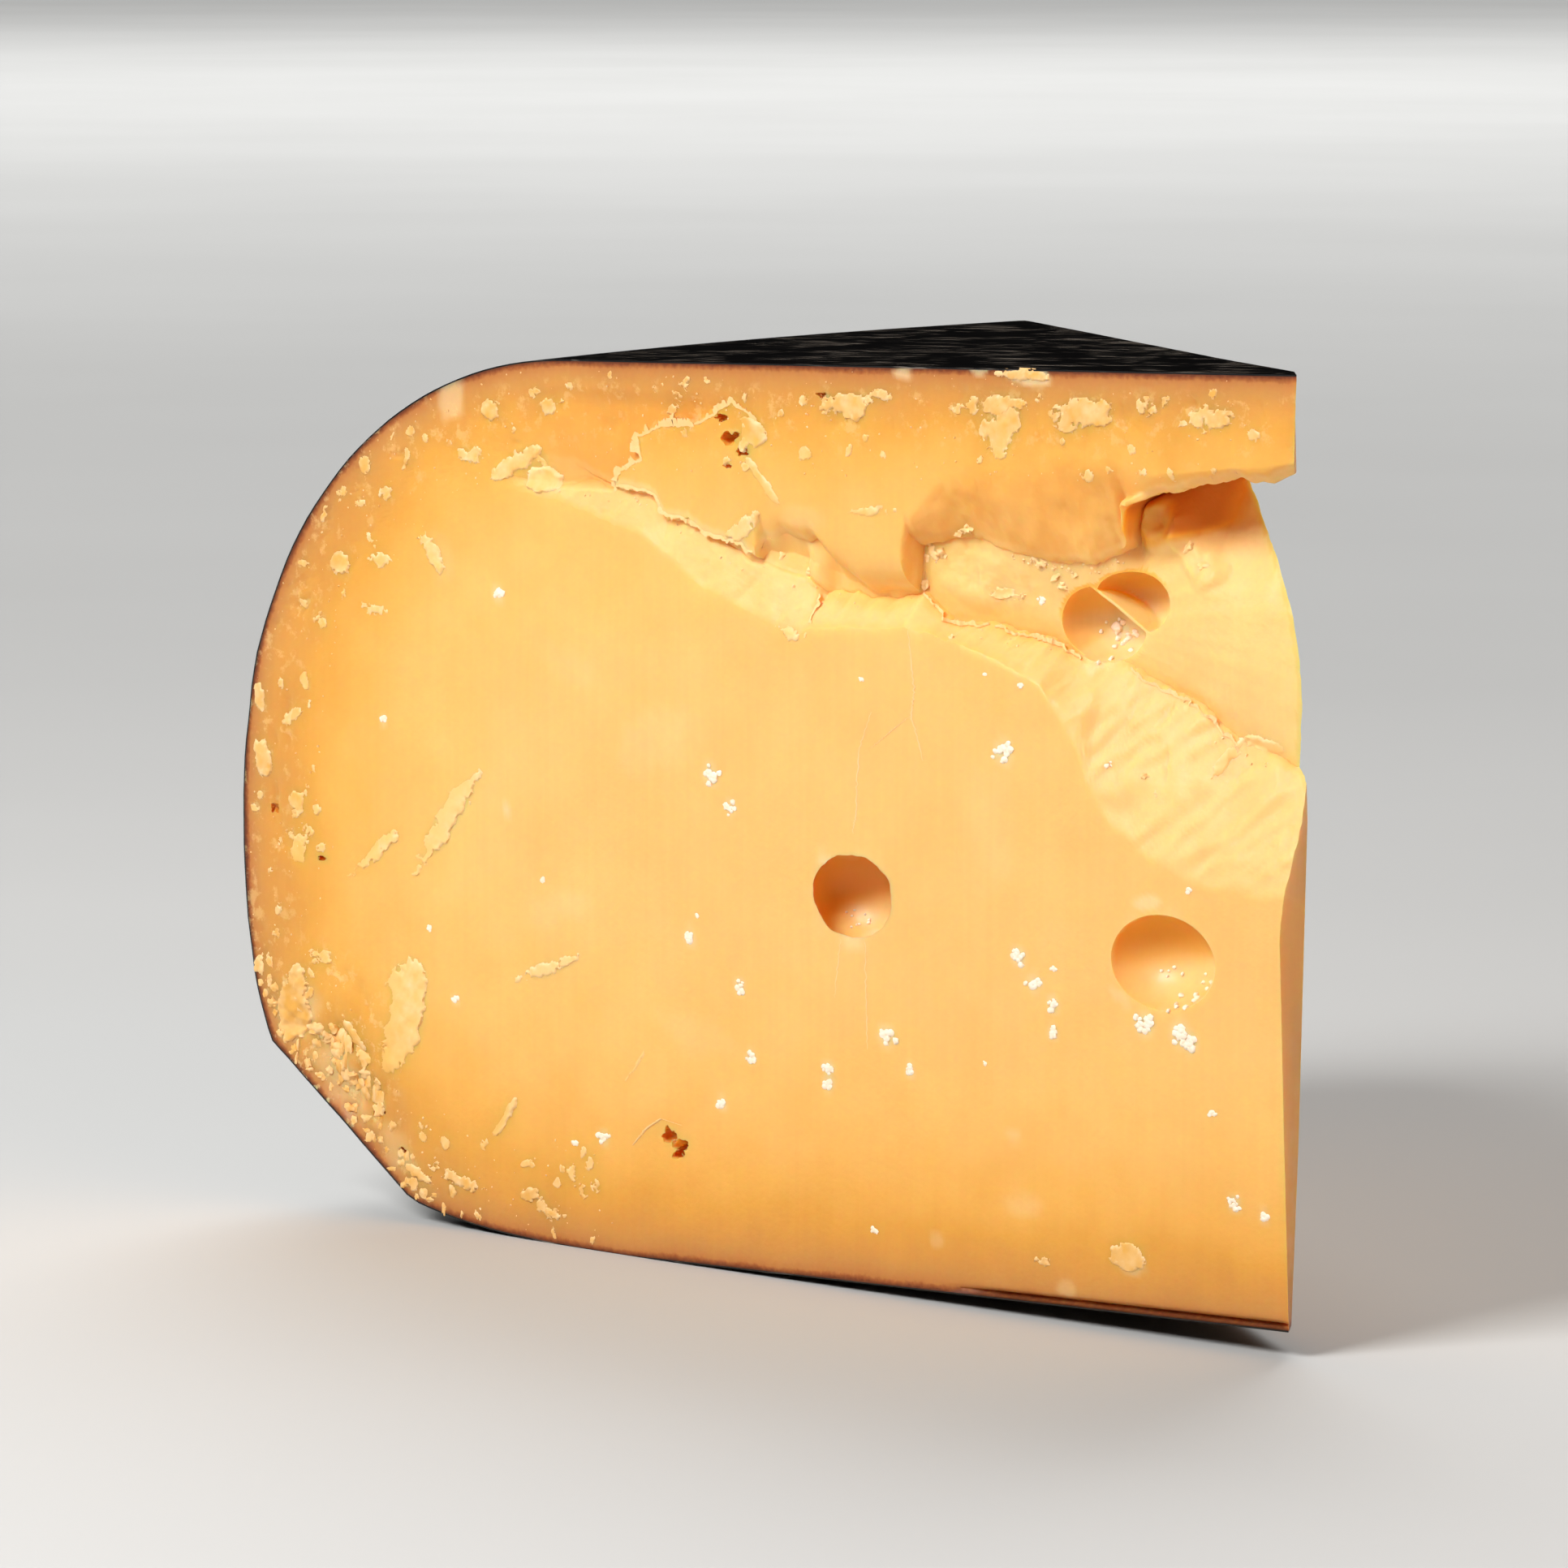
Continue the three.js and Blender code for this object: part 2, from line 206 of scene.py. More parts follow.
# Thin flakes and sheets on the front surface: [x, height], half size, turn in degrees, share of
# that thickness, the side to which they stand up in degrees (None: all round), raggedness.
FLAKES = [
    ([-148.5, 27], [3.6, 8], -17, 0.7, 0, 1.1), ([-140, 54], [1.8, 8], -39, 0.7, -35, 0.9),
    ([-153.5, 48.5], [5, 1.1], 35, 0.6, -50, 0.9), ([-142.5, 89], [3.5, 1.2], -55, 0.5, None, 0.8),
    ([-48, 112.5], [5, 1], 5, 0.4, None, 1.3), ([-45.5, 109.5], [3.5, 2.4], 40, 0.4, None, 1.3),
    ([-32.5, 112], [4.5, 1.8], 5, 0.4, None, 1.3),
    ([-23, 113.5], [1.2, 1], 0, 0.4, None, 1.0), ([-13, 112.5], [3.2, 1.6], 0, 0.5, None, 1.0),
    ([-70.5, 111.5], [3.8, 1.7], 0, 0.5, None, 1.0), ([-64.5, 113], [1.8, 0.6], -15, 0.4, None, 0.8),
    ([-135, 102], [2.6, 1], 0, 0.6, None, 0.8), ([-127.5, 101.5], [4, 1.2], 25, 0.7, None, 0.8),
    ([-42, 116.5], [3.8, 0.7], 0, 0.6, None, 0.6), ([-169, 26], [3, 5.5], -10, 1.0, None, 1.0),
    ([-130, 15.5], [3.2, 0.8], 50, 0.6, -30, 0.6), ([-122, 36], [6.3, 0.8], 20, 0.5, None, 0.6),
    ([-88.5, 95], [3, 1.2], 40, 0.5, None, 0.9), ([-66.5, 98.5], [3.2, 0.6], 5, 0.5, 90, 0.6),
    ([-151.5, 87.5], [2.5, 0.9], 5, 0.35, None, 0.6), ([-159, 86.5], [1.5, 1.4], 0, 0.6, None, 0.9),
    ([-153, 81], [2.3, 0.9], -5, 0.35, None, 0.6), ([-163.5, 79], [1.8, 0.7], 20, 0.4, None, 0.9),
    ([-174.5, 68], [0.8, 2], 10, 0.5, None, 0.5), ([-168.5, 65.5], [2, 0.8], 30, 0.4, None, 0.8),
    ([-174, 60], [1.7, 2.6], 0, 0.7, None, 0.6), ([-167.5, 54.5], [1.3, 1.7], 0, 0.5, None, 0.8),
    ([-163.5, 53.5], [1.6, 0.6], 10, 0.4, None, 0.8), ([-167.5, 47.5], [1.4, 2], -10, 0.5, 90, 0.5),
    ([-162.5, 48.5], [1.3, 0.5], 10, 0.35, None, 1.0), ([-163.5, 34], [2.4, 0.8], -5, 0.4, None, 1.0),
    ([-175, 31.5], [0.8, 2], 0, 0.6, None, 0.6), ([-158, 24], [2.5, 0.8], -48, 0.5, 40, 0.6),
    ([-137.5, 6.5], [3.4, 0.8], -12, 0.5, None, 0.9), ([-145.5, 6.5], [2, 0.7], -20, 0.5, None, 0.9),
    ([-125, 6], [1.4, 0.8], 10, 0.6, None, 0.9), ([-120.5, 4], [1.4, 0.6], 0, 0.5, None, 0.9),
    ([-106.5, 25], [3.3, 0.45], 52, 0.35, -40, 0.3), ([-121.5, 109], [1.8, 1], 20, 0.5, None, 1.0),
    ([-131.5, 108], [1.5, 1.2], 0, 0.5, None, 1.0), ([-123, 99.5], [3, 1.7], 0, 1.0, None, 0.3),
    ([-85, 101.5], [4.2, 0.8], -48, 0.4, 45, 0.5), ([-86.5, 107.5], [2.8, 1.8], -20, 0.8, 30, 0.4),
    ([-32.5, 104.5], [1.3, 0.7], 20, 0.3, None, 0.8), ([-24.5, 9.5], [3, 1.4], -5, 0.4, None, 0.9),
    ([-38.5, 7.5], [1.4, 0.5], 0, 0.35, None, 0.9), ([-80.5, 82.5], [1.8, 0.9], -20, 0.4, None, 0.7),
    ([-59.5, 93], [0.9, 1.4], 20, 0.6, None, 0.6), ([-48.5, 89], [2.4, 0.7], -5, 0.5, None, 0.9),
    ([-14, 71], [2.6, 1], 60, 1.1, 140, 0.4), ([-9, 73], [3, 0.9], -10, 1.0, 90, 0.4),
]

# White crystals in the paste: [x, height, size].
CRYSTALS = [
    [-130.5, 84.5, 1.0], [-151.5, 66.5, 0.7], [-93.5, 63.5, 1.3], [-90, 59.5, 0.9],
    [-45, 70, 1.5], [-97, 42.5, 1.0], [-88.5, 37, 1.0], [-138.5, 30.5, 0.7],
    [-42.5, 45, 1.2], [-40, 42, 1.1], [-37, 39.5, 1.0], [-37, 36, 0.9], [-64, 33, 1.4],
    [-73.5, 28, 1.0], [-73.5, 26, 1.0], [-60, 29, 0.8], [-22.5, 38.5, 1.5], [-17, 38, 1.6],
    [-15.5, 37, 1.3], [-8.5, 18, 1.0], [-4, 17, 0.8], [-112, 15, 1.0], [-91.5, 21.5, 0.9],
    [-86.5, 28, 0.9], [-43.5, 88.5, 0.6],
]
LOOSE_CRYSTALS = 14          # small ones tried; those over a gas hole are left out
LOOSE_AREA = ([-155, 8], [-10, 80])

# Clusters of white grains on the back walls of the gas holes: the hole, [x, height], how many,
# how far they scatter and their size.
HOLE_CRYSTALS = [
    (DEEP_EYE, [-74, 46], 8, 0.9, 0.18), (DEEP_EYE, [-72, 46], 2, 0.2, 0.28),
    (BOWL_EYE, [-22, 44.5], 5, 0.8, 0.26), (BOWL_EYE, [-19, 41.5], 4, 0.5, 0.35),
    (BOWL_EYE, [-16.5, 41.5], 4, 0.5, 0.42), (BOWL_EYE, [-15, 44], 5, 0.8, 0.3),
    (TWIN_LOWER, [-36.5, 85], 2, 0.2, 0.7), (TWIN_LOWER, [-37.5, 85.5], 3, 0.6, 0.3),
    (TWIN_LOWER, [-34.5, 84.5], 9, 1.0, 0.4), (TWIN_LOWER, [-34.5, 83], 9, 1.1, 0.35),
]

# Larger crumbs in the hollow and on the ledge: [x, height, size].
LARGE_CRUMBS = [
    [-53.5, 97, 1.2], [-55, 96.5, 0.7], [-43, 93.5, 1.4], [-41, 92, 0.9], [-58.5, 93.5, 1.1],
    [-61, 93, 1.0], [-61.5, 89.5, 0.8], [-38, 92, 0.6], [-40, 90.5, 0.7], [-22, 96, 1.0],
    [-19.5, 94, 0.9], [-24.5, 68.5, 0.7], [-79.5, 90, 0.7], [-84, 91.5, 1.1], [-54, 83.5, 0.5],
    [-22.5, 66.5, 0.7],
]

# Fine raised lines where the paste has cracked: [x, height] places, half width.
CRACKS = [
    ([[-69.5, 58], [-69, 60.5], [-68.5, 68.5], [-66.5, 73.5]], 0.10),
    ([[-60.5, 84.5], [-59.5, 76.5], [-60, 73.5], [-58, 68]], 0.13),
    ([[-60, 73.5], [-63, 71.5], [-66.5, 69]], 0.10),
    ([[-71.5, 44.5], [-72.5, 37]], 0.08),
    ([[-67.5, 44.5], [-67, 31]], 0.09),
    ([[-107, 14.5], [-104.5, 17], [-102, 18.5], [-98.5, 18]], 0.28),
]

# How many small flakes and crumbs are tried or scattered, and the areas that they are
# drawn from, as [x, height] corners.
RIND_FLAKES = 120
RIND_CRUMBS = 420
CORNER_LUMPS = 420
LEDGE_CRUMBS = 45
FACE_AREA = ([-177, 1], [-6, 118])
CORNER_AREA = ([-175, 1.2], [-130, 33])
# How far the crumbly lower rim reaches inwards: [height, distance].
CORNER_WIDTH = [[1, 2.2], [5, 3.5], [9, 5], [15, 8], [21, 9.5], [27, 8], [33, 2.5]]

RIND_RANGE = 40.0            # mm over which the paste turns from rind to heart

CAMERA_FROM_TIP = (575.4, -741.9, 179.7)     # mm, from the foot of the tip
CAMERA_TURN = 41.5           # degrees of its line of sight from the face's normal
CAMERA_TILT = 6.7            # degrees down
CAMERA_LENS = 182
CAMERA_SENSOR = 36
CAMERA_REACH = 200           # m
FLOOR_HALF = 40000           # mm, half its width

# Square soft lights: azimuth and elevation in degrees, distance and size in m, power in W,
# colour, and the place in m at which they look. The azimuth is 0 in front of the cut face and
# grows towards the tip's side.
MIDDLE = (0, 0, 0.06)
LIGHTS = {
    "key": (-8, 42, 1.3, 0.5, 17.2, (1, 1, 1), MIDDLE),
    "fill": (84, 14, 1.6, 0.8, 5.4, (1, 0.56, 0.33), MIDDLE),
    "backdrop_near": (-139, 42, 6.5, 5, 300, (1, 1, 1), MIDDLE),
    "backdrop_far": (-139, 38, 12, 8, 620, (1, 1, 1), (-6.2, 7.1, 0)),
}


# ---------------------------------------------------------------- small tools

def along(points, place):
    """Value of a line through a few [place, value] points."""
    points = np.asarray(points, float)
    return np.interp(place, points[:, 0], points[:, 1])


def smooth(start, end, value):
    """Rises smoothly from 0 at `start` to 1 at `end`; either may be the larger."""
    t = np.clip((value - start) / (end - start), 0, 1)
    return t * t * (3 - 2 * t)


def noise(u, v, seed):
    """Smooth random values between -1 and 1, one cell per unit."""
    grid = np.random.default_rng(seed).uniform(-1, 1, (256, 256))
    i, j = np.floor(u).astype(int), np.floor(v).astype(int)
    s, t = u - i, v - j
    s, t = s * s * (3 - 2 * s), t * t * (3 - 2 * t)
    low = grid[i % 256, j % 256] * (1 - s) + grid[(i + 1) % 256, j % 256] * s
    high = grid[i % 256, (j + 1) % 256] * (1 - s) + grid[(i + 1) % 256, (j + 1) % 256] * s
    return low * (1 - t) + high * t


def rough(u, v, size, seed, octaves=4, keep=0.5):
    """Fractal roughness: noise of the given size in mm, with finer layers on top."""
    total, weight = 0, 0
    for k in range(octaves):
        scale = 2 ** k / size
        total = total + noise(u * scale + 17 * k, v * scale - 11 * k, seed + k) * keep ** k
        weight += keep ** k
    return total / weight * 1.2


def blob(x, z, middle, half, turn=0.0):
    """1 in the middle of an ellipse, 0 at its edge and negative outside."""
    dx, dz = x - middle[0], z - middle[1]
    c, s = math.cos(turn), math.sin(turn)
    return 1 - np.hypot((dx * c + dz * s) / half[0], (dz * c - dx * s) / half[1])


def to_frame(points):
    """From millimetres in the wheel's frame to metres in the part's frame."""
    return np.asarray(points, float) / 1000 + np.array([TIP_X, FACE_Y, 0])


def make_object(name, points, faces):
    mesh = bpy.data.meshes.new(name)
    mesh.from_pydata(to_frame(points).tolist(), [], faces)
    mesh.update()
    made = bpy.data.objects.new(name, mesh)
    bpy.context.scene.collection.objects.link(made)
    return made


def points_of(made):
    """The object's vertices, in millimetres in the wheel's frame."""
    flat = np.empty(len(made.data.vertices) * 3)
    made.data.vertices.foreach_get("co", flat)
    return (flat.reshape(-1, 3) - np.array([TIP_X, FACE_Y, 0])) * 1000


def combine(body, tool, operation):
    """Applies a boolean to the body and removes the tool."""
    modifier = body.modifiers.new("combine", "BOOLEAN")
    modifier.operation = operation
    modifier.solver = "MANIFOLD"
    modifier.object = tool
    bpy.context.view_layer.update()
    result = body.evaluated_get(bpy.context.evaluated_depsgraph_get())
    old = body.data
    body.data = bpy.data.meshes.new_from_object(result)
    body.modifiers.clear()
    bpy.data.meshes.remove(old)
    bpy.data.objects.remove(tool)
    body.data.name = body.name
    return body


def grid_faces(columns, rows):
    """Quads of a grid whose points are stored column by column."""
    i, j = np.meshgrid(np.arange(columns - 1), np.arange(rows - 1), indexing="ij")
    a = (i * rows + j).ravel()
    return np.stack([a, a + rows, a + rows + 1, a + 1], axis=1).tolist()


def sphere(columns, rows):
    """A unit ball: its points column by column, then its two poles on z, and its faces."""
    turn = np.linspace(0, 2 * math.pi, columns, endpoint=False)[:, None]
    fall = np.linspace(0, math.pi, rows + 2)[None, 1:-1]
    unit = np.stack([np.cos(turn) * np.sin(fall), np.sin(turn) * np.sin(fall),
                     np.cos(fall) + 0 * turn], axis=2).reshape(-1, 3)
    faces = []
    for i in range(columns):
        a, b = i * rows, (i + 1) % columns * rows
        faces += [[a + j, a + j + 1, b + j + 1, b + j] for j in range(rows - 1)]
        faces.append([columns * rows, a, b])
        faces.append([columns * rows + 1, b + rows - 1, a + rows - 1])
    return np.concatenate([unit, [[0, 0, 1], [0, 0, -1]]]), faces


def tube_faces(rings, around):
    """Faces of a closed tube whose points are stored ring by ring: its two ends, then the rest."""
    last = around * (rings - 1)
    ends = [list(range(around))[::-1], [last + k for k in range(around)]]
    return ends + [[around * i + k, around * i + (k + 1) % around,
                    around * (i + 1) + (k + 1) % around, around * (i + 1) + k]
                   for i in range(rings - 1) for k in range(around)]


def soften(made, sharp_angle):
    made.data.shade_smooth()
    made.data.set_sharp_from_angle(angle=math.radians(sharp_angle))


# ---------------------------------------------------------------- the wheel

def rim_quarter(flat_radius, half_height, exponent):
    """Radius and height of one quarter of the rim, from its widest line to the flat."""
    angle = np.linspace(0, math.pi / 2, RIM_STEPS + 1)
    out = np.cos(angle).clip(0) ** (2 / exponent)
    up = np.sin(angle) ** (2 / exponent)
    return flat_radius + (WHEEL_RADIUS - flat_radius) * out, half_height * up


def wheel_outline():
    """Radius and height from the middle of the base round the rim to the middle of the top."""
    r0, h0 = rim_quarter(BASE_FLAT_RADIUS, RIM_MIDDLE, BASE_ROUNDING)
    r1, h1 = rim_quarter(TOP_FLAT_RADIUS, WHEEL_HEIGHT - RIM_MIDDLE, TOP_ROUNDING)
    flats = np.linspace(0, 1, 12, endpoint=False)
    base = np.stack([BASE_FLAT_RADIUS * flats, 0 * flats], axis=1)
    top = np.stack([TOP_FLAT_RADIUS * flats[::-1], WHEEL_HEIGHT + 0 * flats], axis=1)
    rim = np.concatenate([
        np.stack([r0, RIM_MIDDLE - h0], axis=1)[:0:-1],
        np.stack([r1, RIM_MIDDLE + h1], axis=1),
    ])
    return np.concatenate([base, rim, top])


def outline_normals(outline):
    step = np.gradient(outline, axis=0)
    normals = np.stack([step[:, 1], -step[:, 0]], axis=1)
    normals /= np.linalg.norm(normals, axis=1)[:, None]
    normals[0], normals[-1] = (0, -1), (0, 1)
    return normals


def dent_fade(x, y):
    """1 on the flattened part of the lower rim, 0 farther round the wheel."""
    turn = np.abs(np.arctan2(y, -x))
    return 1 - smooth(DENT_ANGLE / 2, DENT_ANGLE, turn)


def dent_outward():
    """Direction square to the flattened part, as [radius, height]."""
    chord = DENT_TO - DENT_FROM
    return np.array([chord[1], -chord[0]]) / np.linalg.norm(chord)


def shifts(x, y):
    """How far the top and the base of the wheel are moved up, at a place in plan."""
    top = TIP_LIFT + TOP_FALL * x + TOP_RISE * y
    base = TIP_LIFT * np.maximum(0, 1 - np.hypot(x, y) / BASE_FLAT_RADIUS)
    return top, base


def settle(points):
    """The wheel out of true: its top slopes, its underside is hollow towards the axis."""
    top, base = shifts(points[:, 0], points[:, 1])
    height = np.clip(points[:, 2] / WHEEL_HEIGHT, 0, 1)
    points[:, 2] += top * height + base * (1 - height) - REST_FLAT_DEPTH
    return points


def unsettled(x, y, z):
    """The height that a place had before the wheel went out of true."""
    top, base = shifts(x, y)
    return (z + REST_FLAT_DEPTH - base) / (1 + (top - base) / WHEEL_HEIGHT)


def wheel(name, inset):
    """A whole wheel whose surface lies `inset` inside the outer surface of the coat."""
    outline = wheel_outline()
    normals = outline_normals(outline)
    inner = outline - normals * inset
    beyond = ((outline - DENT_FROM) @ dent_outward()).clip(0)
    dent = beyond / np.maximum(normals @ dent_outward(), 0.5)
    ring = inner[1:-1]
    arc = np.concatenate([[0], np.cumsum(np.linalg.norm(np.diff(outline, axis=0), axis=1))])[1:-1]
    points = []
    for k in range(WHEEL_SEGMENTS):
        angle = 2 * math.pi * k / WHEEL_SEGMENTS
        x, y = -math.cos(angle), math.sin(angle)
        bumps = 0.3 * rough(angle * WHEEL_RADIUS + 0 * arc, arc, 9, 77, 4)
        bumps = bumps * normals[1:-1, 0].clip(0) ** 2
        moved = ring - normals[1:-1] * (dent[1:-1] * dent_fade(x, y) + bumps)[:, None]
        points.append(np.stack([moved[:, 0] * x, moved[:, 0] * y, moved[:, 1]], axis=1))
    rows = len(ring)
    points = np.concatenate(points + [[[0, 0, inner[0, 1]], [0, 0, inner[-1, 1]]]])
    faces = []
    for k in range(WHEEL_SEGMENTS):
        a, b = k * rows, (k + 1) % WHEEL_SEGMENTS * rows
        faces += [[a + j, b + j, b + j + 1, a + j + 1][::-1] for j in range(rows - 1)]
        faces.append([len(points) - 2, a, b])
        faces.append([len(points) - 1, b + rows - 1, a + rows - 1])
    return make_object(name, settle(points), faces)


def rind_depth(points):
    """Distance in mm of each point from the nearest place on the wheel's outer surface."""
    x, y, z = points.T
    place = np.stack([np.hypot(x, y), unsettled(x, y, z)], axis=1)
    outline = wheel_outline()
    nearest = np.full(len(place), 1e9)
    for a, b in zip(outline[:-1], outline[1:]):
        t = np.clip((place - a) @ (b - a) / ((b - a) @ (b - a)), 0, 1)
        nearest = np.minimum(nearest, np.linalg.norm(place - a - t[:, None] * (b - a), axis=1))
    from_dent = -((place - DENT_FROM) @ dent_outward())
    from_dent += (1 - dent_fade(x, y)) * 20    # beside the dent it doesn't count
    return np.minimum(nearest, np.maximum(from_dent, 0))


# ---------------------------------------------------------------- the wedge between the cuts

def wedge_block(name, front):
    """The upright block that the two cuts leave, with its blunt tip.
    Its front stands at depth `front`; the second cut is very slightly uneven."""
    rows, columns, reach = 64, 80, WHEEL_RADIUS + 30
    z = np.linspace(-4, WHEEL_HEIGHT + 12, rows)
    inner, outer = along(TIP_INNER, z), along(TIP_OUTER_X, z)
    depth = along(TIP_OUTER_DEPTH, z)
    step = (outer - inner) / depth
    run = np.linspace(0, 1, columns)[None] ** 1.15 * reach
    uneven = 0.12 * rough(run + 0 * z[:, None], z[:, None] + 0 * run, 16, 41)
    uneven += 0.03 * rough(run + 0 * z[:, None], z[:, None] * 0.2 + 0 * run, 2, 45)
    uneven *= smooth(0, 6, run)
    cos, sin = math.cos(WEDGE_ANGLE), math.sin(WEDGE_ANGLE)
    lean = SECOND_CUT_LEAN * z[:, None] - SECOND_CUT_LEAN * 50
    back_x = outer[:, None] - run * cos + uneven * sin
    back_y = depth[:, None] + run * sin + uneven * cos - lean * smooth(0, 30, run)
    plan_x = np.concatenate([(inner + front * step)[:, None], back_x, np.full((rows, 1), -reach)], 1)
    plan_y = np.concatenate([np.full((rows, 1), front), back_y, np.full((rows, 1), front)], 1)
    height = np.broadcast_to(z[:, None], plan_x.shape)
    points = np.stack([plan_x, plan_y, height], axis=2).reshape(-1, 3)
    return make_object(name, points, tube_faces(rows, plan_x.shape[1]))


# ---------------------------------------------------------------- the cut face and its break

# Rows of points across the cut face: below the break, on the ledge and the hollow's floor, then
# back under the roof to its edge, and above.
ROWS_TO_CEILING = [22, 30, 34, 30, 52]
ROWS_UNDER_ROOF = 5
ROWS_ABOVE = [24, 21]
CEILING_ROW = sum(ROWS_TO_CEILING)
ROOF_ROW = CEILING_ROW + ROWS_UNDER_ROOF - 1


def face_columns():
    return np.concatenate([np.arange(-181, -62, 0.5), np.arange(-62, 4.2, 0.4)])


def base_height(x):
    return TIP_LIFT * np.maximum(0, 1 - np.abs(x) / BASE_FLAT_RADIUS) - REST_FLAT_DEPTH


def ragged_line(points, x, strength, seed):
    """The height of one line of the break, with its small teeth."""
    x = np.asarray(x, float)
    return along(points, x) + strength * smooth(-134, -126, x) * rough(x, 0 * x, 5, seed, 5, 0.65)


def front_line(x):
    return ragged_line(LEDGE_FRONT, x, 0.5, 1)


def crest_line(x):
    return np.maximum(ragged_line(LEDGE_CREST, x, 0.9, 5), front_line(x) + 1.2)


def roof_line(x):
    return np.maximum(ragged_line(ROOF_EDGE, x, 0.9, 9), crest_line(x) + 0.5)


def resume_line(x):
    return np.maximum(along(FACE_RESUMES, x), roof_line(x) + 1.2)


def floor_depth(x, up):
    """Depth of the hollow's floor, `up` being 0 at the crest and 1 under the roof. Under the
    deep pocket its lower half bulges forward."""
    lines = FLOOR_AT_CREST, FLOOR_HALF_WAY, FLOOR_UNDER_ROOF
    crest, middle, roof = (along(line, x)[:, None] for line in lines)
    lower = np.clip(2 * np.asarray(up)[None], 0, 1)
    upper = np.clip(2 * np.asarray(up)[None] - 1, 0, 1)
    bulge = 1.3 * smooth(-30, -18, x)[:, None] * np.sin(math.pi * lower)
    return crest + (middle - crest) * lower + (roof - middle) * upper ** 1.1 - bulge


def broken_sheet():
    """The whole front surface: x, height and depth of a grid whose rows follow the ledge,
    its crest and the lower edge of the cheese above the break."""
    x = face_columns()
    lines = front_line(x), crest_line(x), roof_line(x), resume_line(x)
    front, crest, roof, resume = (line[:, None] for line in lines)
    crest_depth = along(CREST_DEPTH, x)[:, None]
    roof_depth = along(ROOF_DEPTH, x)[:, None]
    lift = along(ROOF_LIFT, x)[:, None]
    base = base_height(x)[:, None] - 1.0
    top = (WHEEL_HEIGHT + TIP_LIFT + TOP_FALL * x)[:, None] + 1.5

    heights, depths = [], []

    def steps(count):
        return np.linspace(0, 1, count, endpoint=False)[None]

    def add(height, depth):
        heights.append(height + 0 * x[:, None])
        depths.append(depth + 0 * heights[-1])

    foot, low, middle, ledge, floor = ROWS_TO_CEILING
    add(base + 8 * steps(foot), 0)
    add(base + 8 + 32 * steps(low), 0)
    add(base + 40 + (front - base - 40) * steps(middle), 0)
    up = np.linspace(0, 1, ledge)[None]
    add(front + (crest - front) * up, crest_depth * up ** along(LEDGE_CURVE, x)[:, None])
    up = np.linspace(0.012, 1, floor)[None]
    ceiling = roof + lift
    add(crest + (ceiling - crest) * up, floor_depth(x, up[0]))
    up = np.linspace(0.2, 1, ROWS_UNDER_ROOF)[None]
    under = floor_depth(x, np.array([1.0]))
    lip = np.clip(0.5 * (under - roof_depth), 0, 0.35)
    add(ceiling + (roof - ceiling) * up ** 2, under + (roof_depth + lip - under) * up)
    up = np.linspace(0.02, 1, ROWS_ABOVE[0])[None]
    add(roof + (resume - roof) * up,
        roof_depth * (1 - up) ** along(ROOF_CURVE, x)[:, None] * smooth(-0.2, 0.35, 1 - up))
    up = np.linspace(0, 1, ROWS_ABOVE[1] + 1)[None][:, 1:]
    add(resume + (top - resume) * up, 0)
    z = np.concatenate(heights, axis=1)
    y = np.concatenate(depths, axis=1)
    x = np.broadcast_to(x[:, None], z.shape)
    return x, z, y


def ledge_part(x, z):
    """1 on the ledge and 0 elsewhere."""
    front, crest = front_line(x), crest_line(x)
    inside = smooth(-0.3, 1.2, z - front) * smooth(-0.6, 0.4, crest - z)
    return inside * smooth(-130, -122, x)


def hollow_part(x, z):
    """1 on the floor of the hollow between the crest and the roof, 0 elsewhere."""
    crest, roof = crest_line(x), roof_line(x)
    return smooth(-0.4, 0.4, z - crest) * smooth(-0.4, 0.4, roof + 1 - z) * smooth(-126, -118, x)


def surface_distance(x, z):
    """Distance of places on the cut face from the surface of the wheel."""
    flat = np.stack([x.ravel(), 0 * x.ravel(), z.ravel()], axis=1)
    return rind_depth(flat).reshape(x.shape)


def crumbly_part(x, z):
    """How crumbly the cut face is: near the rind, most of all at the lower rim."""
    from_rind = surface_distance(x, z)
    band = 0.5 * smooth(14, 6, from_rind) * smooth(60, 95, z) * smooth(1.5, 4, from_rind)
    left = 0.5 * smooth(14, 6, from_rind) * smooth(-135, -155, x)
    corner = np.clip(blob(x, z, *CORNER_CRUMBLY) * 2.2, 0, 1)
    return np.maximum(np.maximum(band, left), corner)


def with_relief(x, z, y):
    """Adds the finer shapes of the front surface to its depth."""
    y = y + 0.05 * rough(x, z, 9, 21) + 0.012 * rough(x, z, 1.2, 25)
    for relief in (ledge_relief, hollow_relief, slope_relief, rind_relief):
        y = relief(x, z, y)
    return y + base_split(x, z)


def ledge_relief(x, z, y):
    """Faint ridges that run up to the right along the ledge, and a few deeper grooves."""
    ledge = ledge_part(x, z)
    across, run = x * 0.6 - z * 0.8, x * 0.8 + z * 0.6
    bent = across + 0.8 * noise(across / 5, run / 5, 30)
    ridges = np.abs(noise(bent / 2.4, run / 6, 31)) + 0.5 * np.abs(noise(bent / 1.1, run / 3, 32))
    strength = 0.32 + 0.3 * smooth(-42, -32, x)
    uneven = strength * (ridges - 0.5) + 0.10 * rough(x, z, 1.6, 33) + 0.30 * rough(x, z, 7, 34, 2)
    y = y + ledge * uneven
    for start, end, half, depth in GROOVES:
        y = y + GROOVE_DEPTH * ledge * depth * smooth(half, 0, line_distance(start, end, x, z))
    return y


